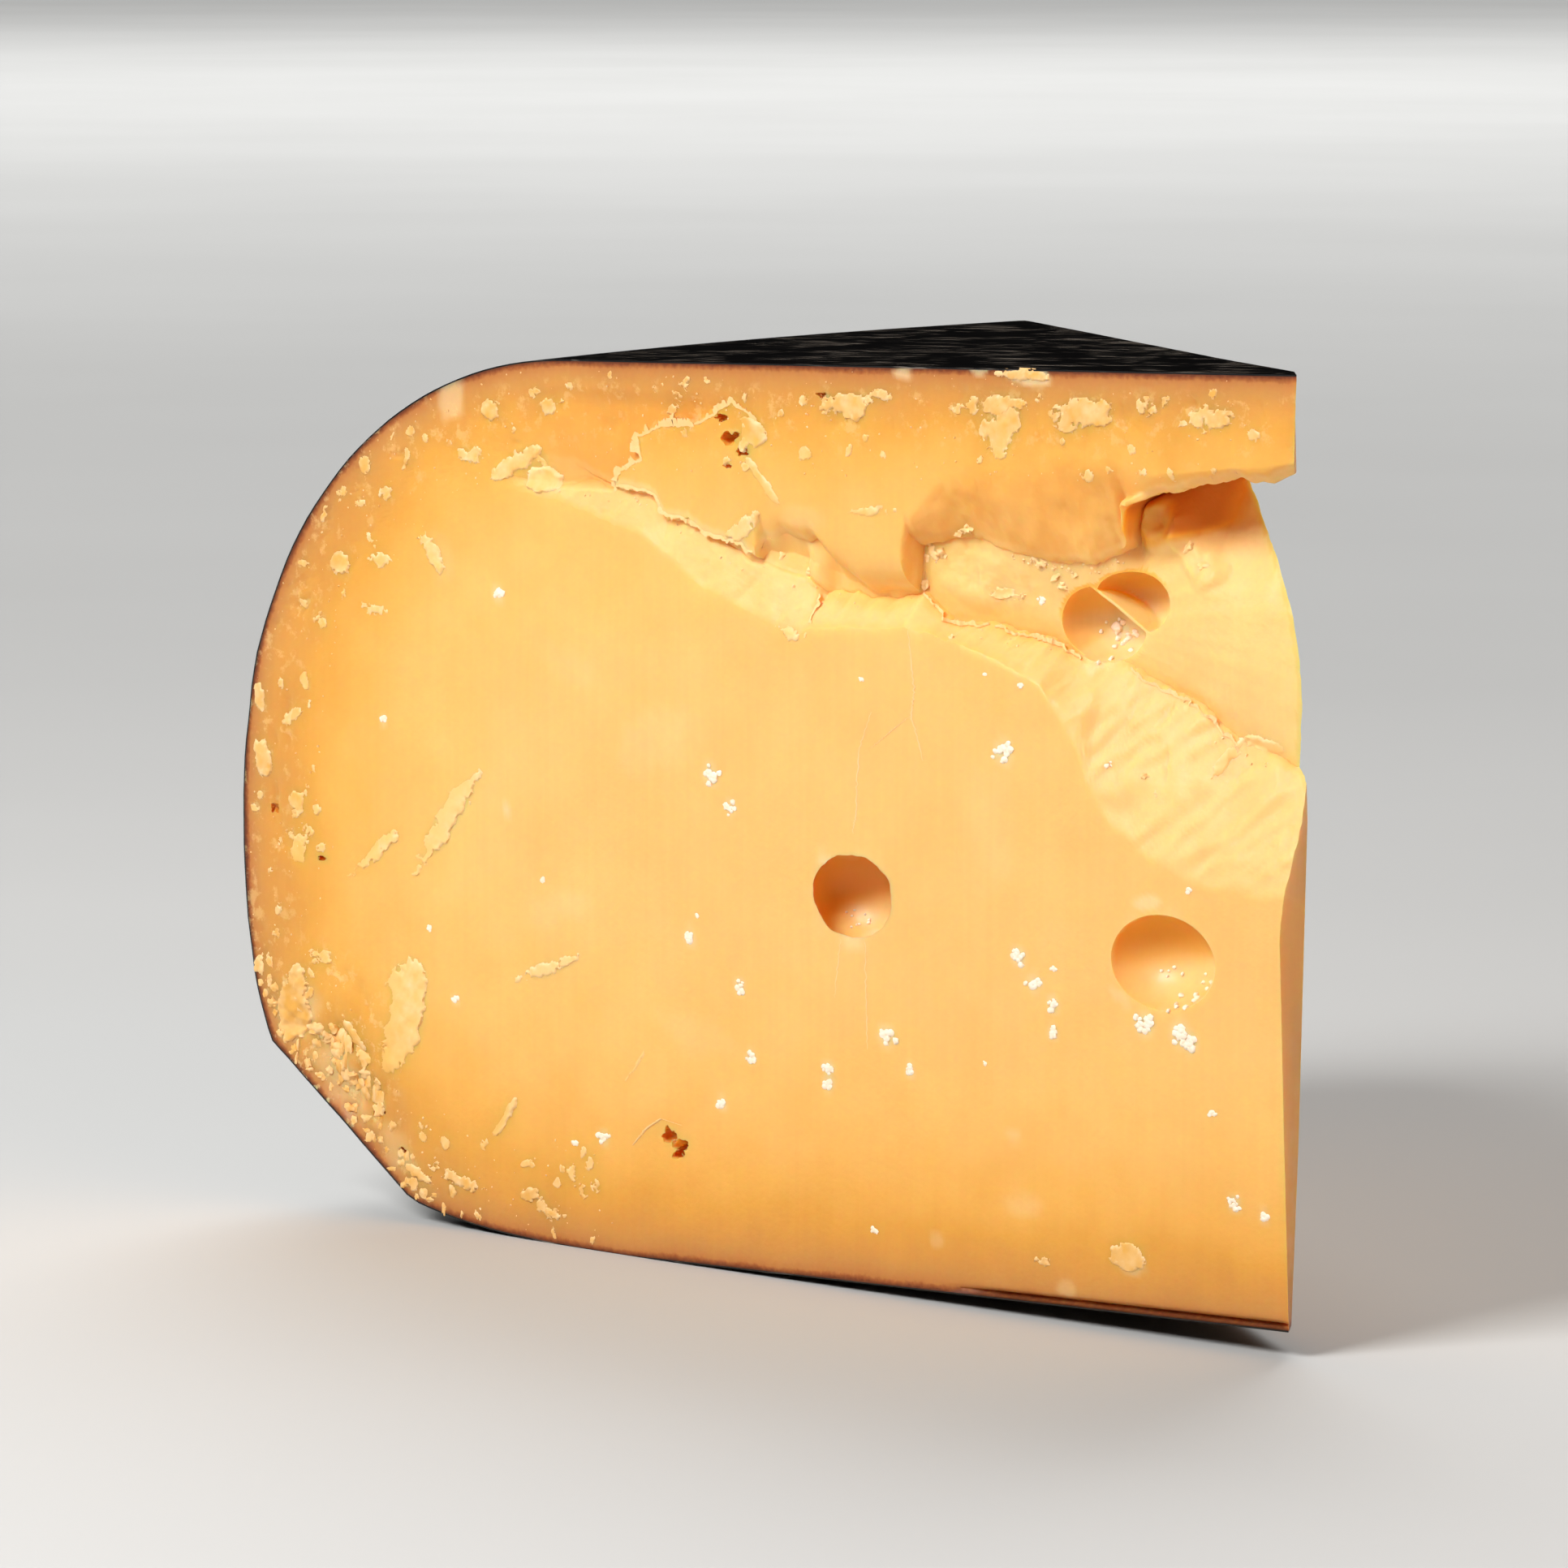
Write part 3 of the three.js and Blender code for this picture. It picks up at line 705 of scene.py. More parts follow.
def hollow_relief(x, z, y):
    """Fine ridges fan out over the hollow's floor from the twin holes; its left part and the
    ground round the deep pocket are lumpy."""
    hollow = hollow_part(x, z)
    right, up = x - FAN_MIDDLE[0], z - FAN_MIDDLE[1]
    angle, distance = np.arctan2(up, right), np.hypot(up, right)
    fan = noise(angle * 30, distance / 9, 35) + 0.7 * noise(angle * 60, distance / 5, 36)
    y = y + hollow * smooth(-34, -22, x) * (0.09 * fan + 0.25 * rough(x, z, 9, 38, 2))
    y = y + hollow * 0.08 * rough(x, z, 2.0, 37)
    lumpy = np.clip(blob(x, z, *LUMPY_FLOOR) * 2.5, 0, 1)
    y = y - hollow * lumpy * (0.2 + 0.7 * rough(x, z, 3.4, 39, 5))
    pocket = np.clip(blob(x, z, *POCKET_LUMPS) * 2, 0, 1)
    y = y - hollow * pocket * (2.2 + 1.2 * rough(x, z, 2.6, 40, 4))
    away = line_distance(*POCKET_RIDGE, x, z) + 0.8 * rough(x, z, 1.8, 42)
    return y - hollow * smooth(2.3, 0.9, away) * (0.9 + 0.5 * rough(x, z, 1.5, 43))


def slope_relief(x, z, y):
    """The slope above the hollow is uneven, a knob stands in the small hollow under the slab,
    and the ground round the thin layer is sunk."""
    slope = smooth(0, 1.0, z - roof_line(x)) * smooth(0, -3, z - resume_line(x))
    ends = smooth(SLOPE_FROM, SLOPE_FROM + 6, x), smooth(SLOPE_TO, SLOPE_TO - 4, x)
    y = y + slope * ends[0] * ends[1] * 0.7 * rough(x, z, 6, 46, 5, 0.6)
    y = y - 1.7 * np.clip(blob(x, z, *SLAB_KNOB), 0, 1) ** 0.8
    sunk = round_flap(x, z, 0.35, (20, 6), (112.5, 109.5), (-83, -93))
    return y + sunk * (0.8 + 0.2 * rough(x, z, 4, 44, 3))


def round_flap(x, z, edge, reach, top, right):
    """1 on the ground round the thin layer and 0 on it. It fades over `edge`, and outwards
    over the pairs of distance, height and x."""
    beyond = -within(FLAP, x, z)
    part = smooth(0, edge, beyond) * smooth(*reach, beyond)
    return part * smooth(98.4, 99.6, z) * smooth(*top, z) * smooth(*right, x)


def rind_relief(x, z, y):
    """Near the rind the paste is short and crumbles under the knife, most of all at the lower
    rim."""
    crumbly, inside = crumbly_part(x, z), smooth(0.4, 2.5, surface_distance(x, z))
    lumps = rough(x, z, 2.6, 51, 5)
    pits = np.clip(lumps - 0.32, 0, 1)
    y = y + crumbly * inside * (0.25 * lumps + 1.5 * pits)
    corner = np.clip(blob(x, z, *CORNER_PITS) * 2.0, 0, 1)
    return y + corner * inside * (0.7 + 1.1 * rough(x, z, 4, 55, 5, 0.6))


def line_distance(start, end, x, z):
    start, run = np.array(start, float), np.array(end, float) - start
    t = np.clip(((x - start[0]) * run[0] + (z - start[1]) * run[1]) / (run @ run), 0, 1)
    return np.hypot(x - start[0] - t * run[0], z - start[1] - t * run[1])


def within(outline, x, z):
    """Distance from a closed outline, positive inside it and negative outside."""
    away, inside = np.full(x.shape, 1e9), np.zeros(x.shape, bool)
    for a, b in zip(outline, outline[1:] + outline[:1]):
        away = np.minimum(away, line_distance(a, b, x, z))
        crossing = (a[1] > z) != (b[1] > z)
        step = b[1] - a[1] if b[1] != a[1] else 1
        inside ^= crossing & (x < a[0] + (z - a[1]) / step * (b[0] - a[0]))
    return np.where(inside, away, -away)


def base_split(x, z):
    """The thin split just above the coat of the underside, near the tip."""
    above = z - base_height(x) - COAT
    line = smooth(0.1, 0.35, above) * smooth(1.1, 0.6, above)
    return 1.2 * line * smooth(-56, -44, x) * smooth(1, -2, x)


def face_cutter():
    """The air in front of the cheese; its back is the cut face with the break."""
    x, z, y = broken_sheet()
    y = with_relief(x, z, y)
    columns, rows = x.shape
    points = np.stack([x, y, z], axis=2).reshape(-1, 3)
    rim = [i * rows for i in range(columns)]
    rim += [(columns - 1) * rows + j for j in range(1, rows)]
    rim += [i * rows + rows - 1 for i in range(columns - 2, -1, -1)]
    rim += [j for j in range(rows - 2, 0, -1)]
    outer = points[rim].copy()
    outer[:, 1] = -12
    start = len(points)
    faces = [face[::-1] for face in grid_faces(columns, rows)]
    for k in range(len(rim)):
        n = (k + 1) % len(rim)
        faces.append([rim[k], rim[n], start + n, start + k])
    faces.append([start + k for k in range(len(rim))])
    return make_object("face_cutter", np.concatenate([points, outer]), faces)


def ball(name, middle, half, side=0, ragged=0.0):
    """An ellipsoid. With `side` 1 or -1 it keeps to that side of the wall between the twins.
    Its front part can be ragged, by a share of its size."""
    unit, faces = sphere(180, 60) if ragged else sphere(72, 36)
    if ragged:
        around = np.arctan2(unit[:, 2], unit[:, 0])
        teeth = ragged * rough(2 * np.cos(around), 2 * np.sin(around), 1.0, 23)
        near_front = smooth(2.6, 1.2, unit[:, 1] * half[1] + middle[1])
        unit[:, [0, 2]] *= (1 + teeth * near_front)[:, None]
    points = unit * half + middle
    if side:
        spot, direction, gap = TWIN_WALL
        direction = -side * np.array(direction)
        beyond = ((points - spot) @ direction + gap / 2).clip(0)
        points = points - beyond[:, None] * direction
    return make_object(name, points, faces)


def knob(middle, half, seed, around=16, strength=0.45):
    """Points, faces and bumpiness of a rounded, knobbly lump."""
    unit, faces = sphere(around, around // 2)
    unit = unit[:, [0, 2, 1]]                  # its poles face forwards and backwards
    faces = [face[:1] + face[:0:-1] for face in faces]
    bumps = rough(unit[:, 0] * 2 + unit[:, 1], unit[:, 2] * 2 - unit[:, 1], 1.1, seed, 4, 0.6)
    points = unit * (1 + strength * bumps)[:, None] * half + middle
    return points, faces, bumps


# ---------------------------------------------------------------- the cheese and its coat

def cheese_body(face):
    """The wheel inside its coat, cut to the wedge, with its break and all its holes."""
    body = wheel("cheese_paste_body", COAT)
    combine(body, wedge_block("block", -1.0), "INTERSECT")
    combine(body, face_cutter(), "DIFFERENCE")
    combine(body, ball("deep_eye", *DEEP_EYE, ragged=0.08), "DIFFERENCE")
    combine(body, ball("bowl_eye", *BOWL_EYE), "DIFFERENCE")
    combine(body, ball("twin_upper", *TWIN_UPPER, 1), "DIFFERENCE")
    combine(body, ball("twin_lower", *TWIN_LOWER, -1), "DIFFERENCE")
    for k, (middle, half) in enumerate(TORN_HOLES):
        points, faces, _ = knob(middle, half, 60 + k, 24, 0.7)
        combine(body, make_object("torn", points, faces), "DIFFERENCE")
    soften(body, 50)
    mark_paste(body, face)
    return body


def mark_paste(body, face):
    """Stores on the cheese what its material has to know about each place."""
    points = points_of(body)
    x, y, z = points.T
    in_front = smooth(26, 20, y) * (y < second_cut_depth(x, z) - 0.5)
    # The stored distance is shortened near the underside, which paints shade there.
    store(body, "rind_depth", darkened_depth(points))
    store(body, "broken", np.maximum(ledge_part(x, z), hollow_part(x, z)) * in_front)
    store(body, "waxy_and_shaded", waxy_and_shaded_part(x, z) * in_front)
    # Painted shade: the paste is tinted darker orange where it lies deeper than the ground round it,
    # in the deep pocket under the roof, on the walls of the gas holes that the light does not reach,
    # and inside the torn holes.
    hollow = smooth(0.15, 1.6, face.hollowness(x, z)) * 0.15 * in_front * (y > 0.2)
    pocket = pocket_shade(x, z) * (y > 2.2) * in_front
    shades = [hole_shade(points), pocket, hollow]
    shades += [torn_shade(points, middle, half) for middle, half in TORN_HOLES]
    store(body, "shade", np.max(shades, axis=0))
    store(body, "bubble", np.max([in_bubble(points, *eye) for eye in EYES], axis=0))
    store(body, "crumbly", crumbly_part(x, z) * (y < 3))
    store(body, "smeared_and_lit", smeared_and_lit_part(x, z) * in_front)


def darkened_depth(points):
    """Distance from the rind, made smaller where the paste is to look darker farther in: towards the
    rim, where the paste is darker, and near the underside, where it is painted shade, as the light
    falls from above."""
    x, y, z = points.T
    from_rim = smooth(95, 165, np.hypot(x, y)) * smooth(0, 14, z) * smooth(112, 95, z)
    depth = rind_depth(points)
    # Near the underside this is painted shade; towards the rim it is the paste's own darker colour.
    sooner = (0.40 * from_rim + 0.12 * smooth(32, 8, z)) * smooth(2, 9, depth)
    return depth * (1 - sooner)


def waxy_and_shaded_part(x, z):
    """1 where the broken paste is darker: the waxy slope above the hollow, whose darker colour is
    partly painted shade as it faces down, away from the light, and the darker ground round the thin
    layer."""
    patch = smooth(-0.4, 0.2, z - roof_line(x)) * smooth(1.5, -4.0, z - resume_line(x))
    ends = smooth(SLOPE_FROM - 0.5, SLOPE_FROM + 7, x), smooth(SLOPE_TO + 1.5, SLOPE_TO - 1.5, x)
    patch = patch * ends[0] * ends[1] * (0.6 + 0.8 * rough(x, z, 5, 57, 5, 0.6)).clip(0, 1)
    return np.maximum(patch, 0.8 * round_flap(x, z, 0.5, (18, 8), (113, 109), (-83, -95)))


def torn_shade(points, middle, half):
    away = np.linalg.norm((points - middle) / half, axis=1)
    return smooth(1.3, 1.1, away) * smooth(0.2, 1.8, points[:, 1]) * 0.7


def smeared_and_lit_part(x, z):
    """1 on the pale smears, with the painted light on two lit walls of gas holes, and round the white
    crystals.
    """
    smeared_and_lit = [smooth(0, 0.6, blob(x, z, at, half, math.radians(turn)) +
                      0.3 * rough(x, z, 2.5, 90 + k)) * amount
               for k, (at, half, turn, amount) in enumerate(SMEARS_AND_LIT_SPOTS)]
    smeared_and_lit += [smooth(1.5 * size, 0.3 * size, np.hypot(x - at, z - height)) * 0.9
                for at, height, size in CRYSTALS]
    return np.clip(np.max(smeared_and_lit, axis=0), 0, 1)


def second_cut_depth(x, z):
    """How deep the second cut lies behind the face, without its unevenness."""
    behind = along(TIP_OUTER_X, z) - x
    lean = SECOND_CUT_LEAN * (z - 50) * smooth(0, 30, behind / math.cos(WEDGE_ANGLE))
    return along(TIP_OUTER_DEPTH, z) + behind * math.tan(WEDGE_ANGLE) - lean


def pocket_shade(x, z):
    """1 in the deep pocket under the roof, less on the chunk that hangs in front of it."""
    edge = 96.4 + 0.28 * (x + 26)
    chunk = smooth(0, 0.45, blob(x, z, *POCKET_CHUNK))
    return (smooth(-29, -27.5, x) * smooth(edge - 0.8, edge + 1.2, z) * smooth(-14.5, -20.5, x)
            * (1 - 0.6 * chunk))


def hole_shade(points):
    """How dark the walls of the gas holes are where the light does not reach them."""
    shade = np.zeros(len(points))
    for eye, direction, low, high, most in HOLE_SHADES:
        place = (points - eye[0]) / eye[1]
        dark_side = smooth(low, high, place @ direction)
        shade = np.maximum(shade, most * dark_side * in_bubble(points, *eye))
    return shade


def in_bubble(points, middle, half):
    """1 on the inner surface of a gas hole."""
    away = np.linalg.norm((points - middle) / half, axis=1)
    return (np.abs(away - 1) < 0.07) * (points[:, 1] > 0.3)


def store(made, name, values):
    """Stores one value for each vertex, for the materials."""
    made.data.attributes.new(name, "FLOAT", "POINT")
    made.data.attributes[name].data.foreach_set("value", np.asarray(values, np.float32))


def wax_coat():
    """The wax: a thin shell of the wheel, cut to the wedge. Its top is scratched, its rim only
    faintly."""
    coat = wheel("wax_coat_body", 0)
    combine(coat, wheel("inside", COAT), "DIFFERENCE")
    combine(coat, wedge_block("block", 0.0), "INTERSECT")
    soften(coat, 35)
    points = points_of(coat)
    radius = np.hypot(points[:, 0], points[:, 1])
    store(coat, "scratched", smooth(170, 140, radius) + 0.12)
    return coat


# ---------------------------------------------------------------- small things on the face

class Face:
    """Tells how deep the finished front surface lies at any place of the cut face."""

    FROM, STEP = -2, 0.25        # lowest height of its table, and the distance between rows

    def __init__(self):
        x, z, y = broken_sheet()
        y = with_relief(x, z, y)
        self.columns = x[:, 0]
        self.heights = np.arange(self.FROM, 122, self.STEP)
        above = self.heights[None] >= z[:, ROOF_ROW, None]
        upper = [np.interp(self.heights, rows[ROOF_ROW:], depths[ROOF_ROW:])
                 for rows, depths in zip(z, y)]
        lower = [np.interp(self.heights, rows[:CEILING_ROW], depths[:CEILING_ROW])
                 for rows, depths in zip(z, y)]
        self.depths = np.where(above, upper, lower)

    def hollowness(self, x, z):
        """How much deeper a place lies than the ground up to 5 mm to each side of it."""
        away = np.arange(-2, 2.01, 0.5) * 2.5
        total = sum(self.depth(x + dx, z + dz) for dx in away for dz in away)
        return self.depth(x, z) - total / len(away) ** 2

    def depth(self, x, z):
        i = np.clip(np.searchsorted(self.columns, x) - 1, 0, len(self.columns) - 2)
        j = np.clip(((z - self.FROM) / self.STEP).astype(int), 0, len(self.heights) - 2)
        s = np.clip((x - self.columns[i]) / (self.columns[i + 1] - self.columns[i]), 0, 1)
        t = np.clip((z - self.heights[j]) / self.STEP, 0, 1)
        low = self.depths[i, j] * (1 - s) + self.depths[i + 1, j] * s
        high = self.depths[i, j + 1] * (1 - s) + self.depths[i + 1, j + 1] * s
        return low * (1 - t) + high * t

    def at(self, x, z):
        return self.depth(np.array([x]), np.array([z]))[0]


class Pile:
    """Collects many small shapes into one object."""

    def __init__(self):
        self.points, self.faces, self.pale, self.count = [], [], [], 0

    def add(self, points, faces, pale):
        self.points.append(points)
        self.faces += [[self.count + i for i in face] for face in faces]
        self.pale.append(np.broadcast_to(pale, len(points)))
        self.count += len(points)

    def make(self, name):
        """The object, with the colour of the paste below the rind's brown band."""
        points = np.concatenate(self.points)
        made = make_object(name, points, self.faces)
        store(made, "rind_depth", np.maximum(surface_distance(points[:, 0], points[:, 2]), 7))
        store(made, "pale", np.concatenate(self.pale))
        soften(made, 50)
        return made


def add_flake(pile, face, middle, half, turn, thick, side, ragged, seed, cell=0.2):
    """One thin oval flake that lies on the front surface, its edge sunk in the face. It stands
    up on the given side and merges with the face on the other."""
    reach = 1.6                                # of the grid, in half sizes
    u = np.arange(-reach, reach + 1e-4, cell / half[0])[:, None] * half[0]
    v = np.arange(-reach, reach + 1e-4, cell / half[1])[None] * half[1]
    size = min(half)
    frayed = rough(u + 9 * seed, v + 0 * u, 0.8 + 0.6 * size, seed, 5, 0.66)
    out = np.hypot(u / half[0], v / half[1])
    inside = (1 - out - 2 * smooth(1.2, 1.6, out)) * size
    inside = inside + ragged * frayed * min(1.7, 0.5 + 1.1 * size)
    c, s = math.cos(math.radians(turn)), math.sin(math.radians(turn))
    x, z = middle[0] + u * c - v * s, middle[1] + u * s + v * c
    if inside.max() < 0.1:
        return
    raised = np.ones_like(x)
    if side is not None:
        a = math.radians(side)
        towards = (x - x.mean()) * math.cos(a) + (z - z.mean()) * math.sin(a)
        towards = towards / np.abs(towards[inside > 0]).max() + 0.7 * rough(x, z, 3.5, seed + 11)
        raised = smooth(-0.8, 0.7, towards)
    inside = np.minimum(inside, (raised - 0.06) * 3)
    top = thick * raised * smooth(-0.05, 0.3, inside) * (0.8 + 0.5 * rough(x, z, 1.3, seed + 7))
    y = face.depth(x, z) - np.where(inside > 0, top + 0.02, -0.2)
    # Paler towards the raised edge: partly paler torn paste, partly painted light where that edge
    # catches it.
    pale = 0.25 + 0.4 * rough(x, z, 1.5, seed + 3) + 0.4 * smooth(0.5, 0.05, inside)
    pale = raised * pale.clip(0, 0.9)
    faces = np.array(grid_faces(*x.shape))
    faces = faces[(inside.ravel()[faces] > 0).any(axis=1)]
    used, faces = np.unique(faces, return_inverse=True)
    points = np.stack([x, y, z], axis=2).reshape(-1, 3)[used]
    pile.add(points, faces.reshape(-1, 4).tolist(), pale.ravel()[used])


def add_edge(pile, face, places, width, side, seed):
    """A thin frayed edge that stands out over the lower ground on one side, 1 or -1."""
    places = np.array(places, float)
    run = np.concatenate([[0], np.cumsum(np.hypot(*np.diff(places, axis=0).T))])
    t = np.arange(0, run[-1], 0.14)
    x = np.interp(t, run, places[:, 0]) + 0.3 * rough(t, 0 * t, 1.2, seed)
    z = np.interp(t, run, places[:, 1]) + 0.3 * rough(t, 0 * t, 1.2, seed + 5)
    along_x, along_z = np.gradient(x), np.gradient(z)
    length = np.hypot(along_x, along_z)
    out_x, out_z = -side * along_z / length, side * along_x / length
    wide = width * np.clip(0.5 + 1.5 * rough(t, 0 * t, 1.1, seed + 9, 5, 0.7), 0.05, 1.6)
    wide *= smooth(0, 1.2, t) * smooth(0, 1.2, run[-1] - t) + 0.02
    depth = face.depth(x - 0.4 * out_x, z - 0.4 * out_z)
    # Section of the edge: place across it in mm and in its own width, and depth below the face.
    section = [(-0.3, 0.0, 0.15), (-0.25, 0.0, 0.0), (0, 0.5, -0.06), (0, 1.0, -0.05),
               (0, 1.0, 0.04), (0, 0.5, 0.15)]
    rings = [np.stack([x + out_x * (a + b * wide), depth + c, z + out_z * (a + b * wide)], axis=1)
             for a, b, c in section]
    points = np.stack(rings, axis=1).reshape(-1, 3)
    pile.add(points, [quad[::-side] for quad in tube_faces(len(t), len(rings))], 0.55)


def frayed_edges():
    """Pale frayed edges: [x, height] places, width, and the side to which they fray."""
    def part(line, start, end):
        return [[x, float(line(x))] for x in np.arange(start, end, 1.0)]

    return [
        (FLAP[:6], 1.1, 1), (FLAP[5:10], 0.7, 1), (part(roof_line, -111, -86), 0.35, -1),
        ([[-77.5, 82], [-77, 84], [-77.5, 87.5]], 0.3, -1),
        (part(crest_line, -61, -50), 0.3, 1), (part(crest_line, -50, -36), 0.3, 1),
        (part(crest_line, -30, -12), 0.3, 1),
    ]


def flakes(face):
    pile = Pile()
    for seed, (middle, half, turn, thick, side, ragged) in enumerate(FLAKES):
        add_flake(pile, face, middle, half, turn, FLAKE_THICKNESS * thick, side, ragged, 100 + seed)
    for k, (places, width, side) in enumerate(frayed_edges()):
        add_edge(pile, face, places, width, side, 500 + 20 * k)
    rng = np.random.default_rng(7)
    for k in range(RIND_FLAKES):
        x, z = place_near_rind(rng, face, 1.5, 13)
        half = rng.uniform(0.35, 1.0, 2)
        add_flake(pile, face, (x, z), half, rng.uniform(0, 180), 0.1, None, 1.0, 300 + k, 0.16)
    return pile.make("paste_flakes")


ICOSAHEDRON = [
    [0, 11, 5], [0, 5, 1], [0, 1, 7], [0, 7, 10], [0, 10, 11], [1, 5, 9], [5, 11, 4], [11, 10, 2],
    [10, 7, 6], [7, 1, 8], [3, 9, 4], [3, 4, 2], [3, 2, 6], [3, 6, 8], [3, 8, 9], [4, 9, 5],
    [2, 4, 11], [6, 2, 10], [8, 6, 7], [9, 8, 1],
]


def icosahedron():
    g = (1 + 5 ** 0.5) / 2
    corners = [[-1, g, 0], [1, g, 0], [-1, -g, 0], [1, -g, 0], [0, -1, g], [0, 1, g],
               [0, -1, -g], [0, 1, -g], [g, 0, -1], [g, 0, 1], [-g, 0, -1], [-g, 0, 1]]
    return np.array(corners) / math.hypot(1, g)


def add_lump(pile, rng, middle, size, pale):
    points = icosahedron() * rng.uniform(0.7, 1.25, (12, 1)) * rng.uniform(0.6, 1.0, 3) * size
    a, b = rng.uniform(0, 2 * math.pi, 2)
    turn = np.array([[math.cos(a), -math.sin(a), 0], [math.sin(a), math.cos(a), 0], [0, 0, 1]])
    tilt = np.array([[1, 0, 0], [0, math.cos(b), -math.sin(b)], [0, math.sin(b), math.cos(b)]])
    points = points @ (turn @ tilt).T
    pile.add(points + middle, ICOSAHEDRON, pale)


def place_near_rind(rng, face, nearest, farthest):
    """A random place on the unbroken face between two distances from the wheel's surface."""
    while True:
        x, z = rng.uniform(*FACE_AREA)
        near = nearest < rind_distance(x, z) < farthest
        crumbles = x < -110 or z > 20          # not along the underside towards the tip
        if near and face.at(x, z) < 1.2 and in_wheel(x, z) and crumbles:
            return x, z


def rind_distance(x, z):
    return surface_distance(np.array([x]), np.array([z]))[0]


def in_wheel(x, z):
    height, outline = unsettled(x, 0, z), wheel_outline()
    return 0 < height < WHEEL_HEIGHT and abs(x) < np.interp(height, outline[:, 1], outline[:, 0])


def crumbs(face):
    """Crumbs of paste: thick in the lower rim, thin along the rind, a few in the hollow."""
    pile, rng = Pile(), np.random.default_rng(11)

    def drop(x, z, size, pale=0.7):
        add_lump(pile, rng, (x, face.at(x, z) + 0.05 * size, z), size, pale)

    for k in range(CORNER_LUMPS):              # sunk in the crumbly lower rim
        x, z = rng.uniform(*CORNER_AREA)
        away = rind_distance(x, z)
        outside = not in_wheel(x, z) or not 0.6 < away < along(CORNER_WIDTH, z)
        if outside or (z < 7 and x > -134 - z):
            continue
        half = rng.uniform(0.5, 1.6, 3) * (0.55 + 0.06 * min(away, 8)) * (1, 0.55, 1)
        points, faces, bumps = knob((x, face.at(x, z) + 0.6 * half[1], z), half, 700 + k)
        pile.add(points, faces, np.clip(rng.uniform(0.15, 0.5) + 0.5 * bumps, 0, 0.9))
    for _ in range(RIND_CRUMBS):
        x, z = place_near_rind(rng, face, 0.8, 14)
        drop(x, z, rng.uniform(0.06, 0.22), rng.uniform(0.4, 1))
    for _ in range(LEDGE_CRUMBS):              # on the ledge and below the roof's edge
        x = rng.uniform(-125, -8)
        drop(x, crest_line(x) - rng.uniform(0, 2), rng.uniform(0.1, 0.28))
        x = rng.uniform(-47, -30)
        drop(x, roof_line(x) - rng.uniform(0.2, 1.2), rng.uniform(0.1, 0.3))
    for k, (x, z, size) in enumerate(LARGE_CRUMBS):
        half = size * rng.uniform(0.7, 1.2, 3) * (1, 0.6, 0.8)
        place = (x, face.at(x, z) + 0.35 * size, z)
        points, faces, bumps = knob(place, half, 1300 + k, 16, 0.8)
        pile.add(points, faces, np.clip(0.5 + 0.6 * bumps, 0.1, 0.9))
    return pile.make("paste_crumbs")


def over_hole(x, z):
    return any(blob(x, z, middle[::2], half[::2]) > -0.15 for middle, half in EYES)


def on_back_wall(eye, x, z):
    """The place on the back wall of a gas hole that has the given x and height."""
    middle, half = eye
    out = ((x - middle[0]) / half[0]) ** 2 + ((z - middle[2]) / half[2]) ** 2
    return np.array([x, middle[1] + half[1] * math.sqrt(max(0, 1 - out)), z])


def crystals(face):
    """Clusters of small white grains, almost flush with the cut face or on the walls of the gas
    holes."""
    pile, rng = Pile(), np.random.default_rng(13)
    loose = [[*rng.uniform(*LOOSE_AREA), rng.uniform(0.3, 0.6)] for _ in range(LOOSE_CRYSTALS)]
    for x, z, size in CRYSTALS + [place for place in loose if not over_hole(*place[:2])]:
        for _ in range(int(4 + 9 * size)):
            dx, dz = rng.normal(0, (0.42 * size, 0.36 * size))
            half = rng.uniform(0.22, 0.5) * size ** 0.5 * np.array([1, 0.3, 0.85])
            place = (x + dx, face.at(x + dx, z + dz), z + dz)
            points, faces, _ = knob(place, half, rng.integers(1000), 10)
            pile.add(points, faces, 1)
    for eye, middle, count, spread, size in HOLE_CRYSTALS:
        for _ in range(count):
            place = on_back_wall(eye, *(rng.normal(0, spread, 2) + middle))
            points, faces, _ = knob(place, size * rng.uniform(0.7, 1.1, 3), rng.integers(1000), 10)
            pile.add(points, faces, 1)
    return pile.make("white_crystals")


def cracks(face):
    """Fine raised lines, as thin tubes half sunk in the face."""
    pile, rng = Pile(), np.random.default_rng(17)
    for places, width in CRACKS:
        places = np.array(places)
        t = np.linspace(0, len(places) - 1, 14 * len(places))
        x = np.interp(t, np.arange(len(places)), places[:, 0]) + rng.normal(0, 0.07, len(t))
        z = np.interp(t, np.arange(len(places)), places[:, 1])
        taper = width * (0.4 + 0.6 * np.sin(np.linspace(0.1, math.pi - 0.1, len(t))))
        depth = face.depth(x, z)
        ring = np.linspace(0, 2 * math.pi, 6, endpoint=False)
        px = x[:, None] + taper[:, None] * np.cos(ring)
        py = depth[:, None] + taper[:, None] * np.sin(ring) * 0.6
        points = np.stack([px, py, z[:, None] + 0 * px], axis=2).reshape(-1, 3)
        upward = 1 if z[-1] > z[0] else -1
        pile.add(points, [quad[::upward] for quad in tube_faces(len(t), 6)], 0.6)
    return pile.make("crack_lines")


# ---------------------------------------------------------------- materials

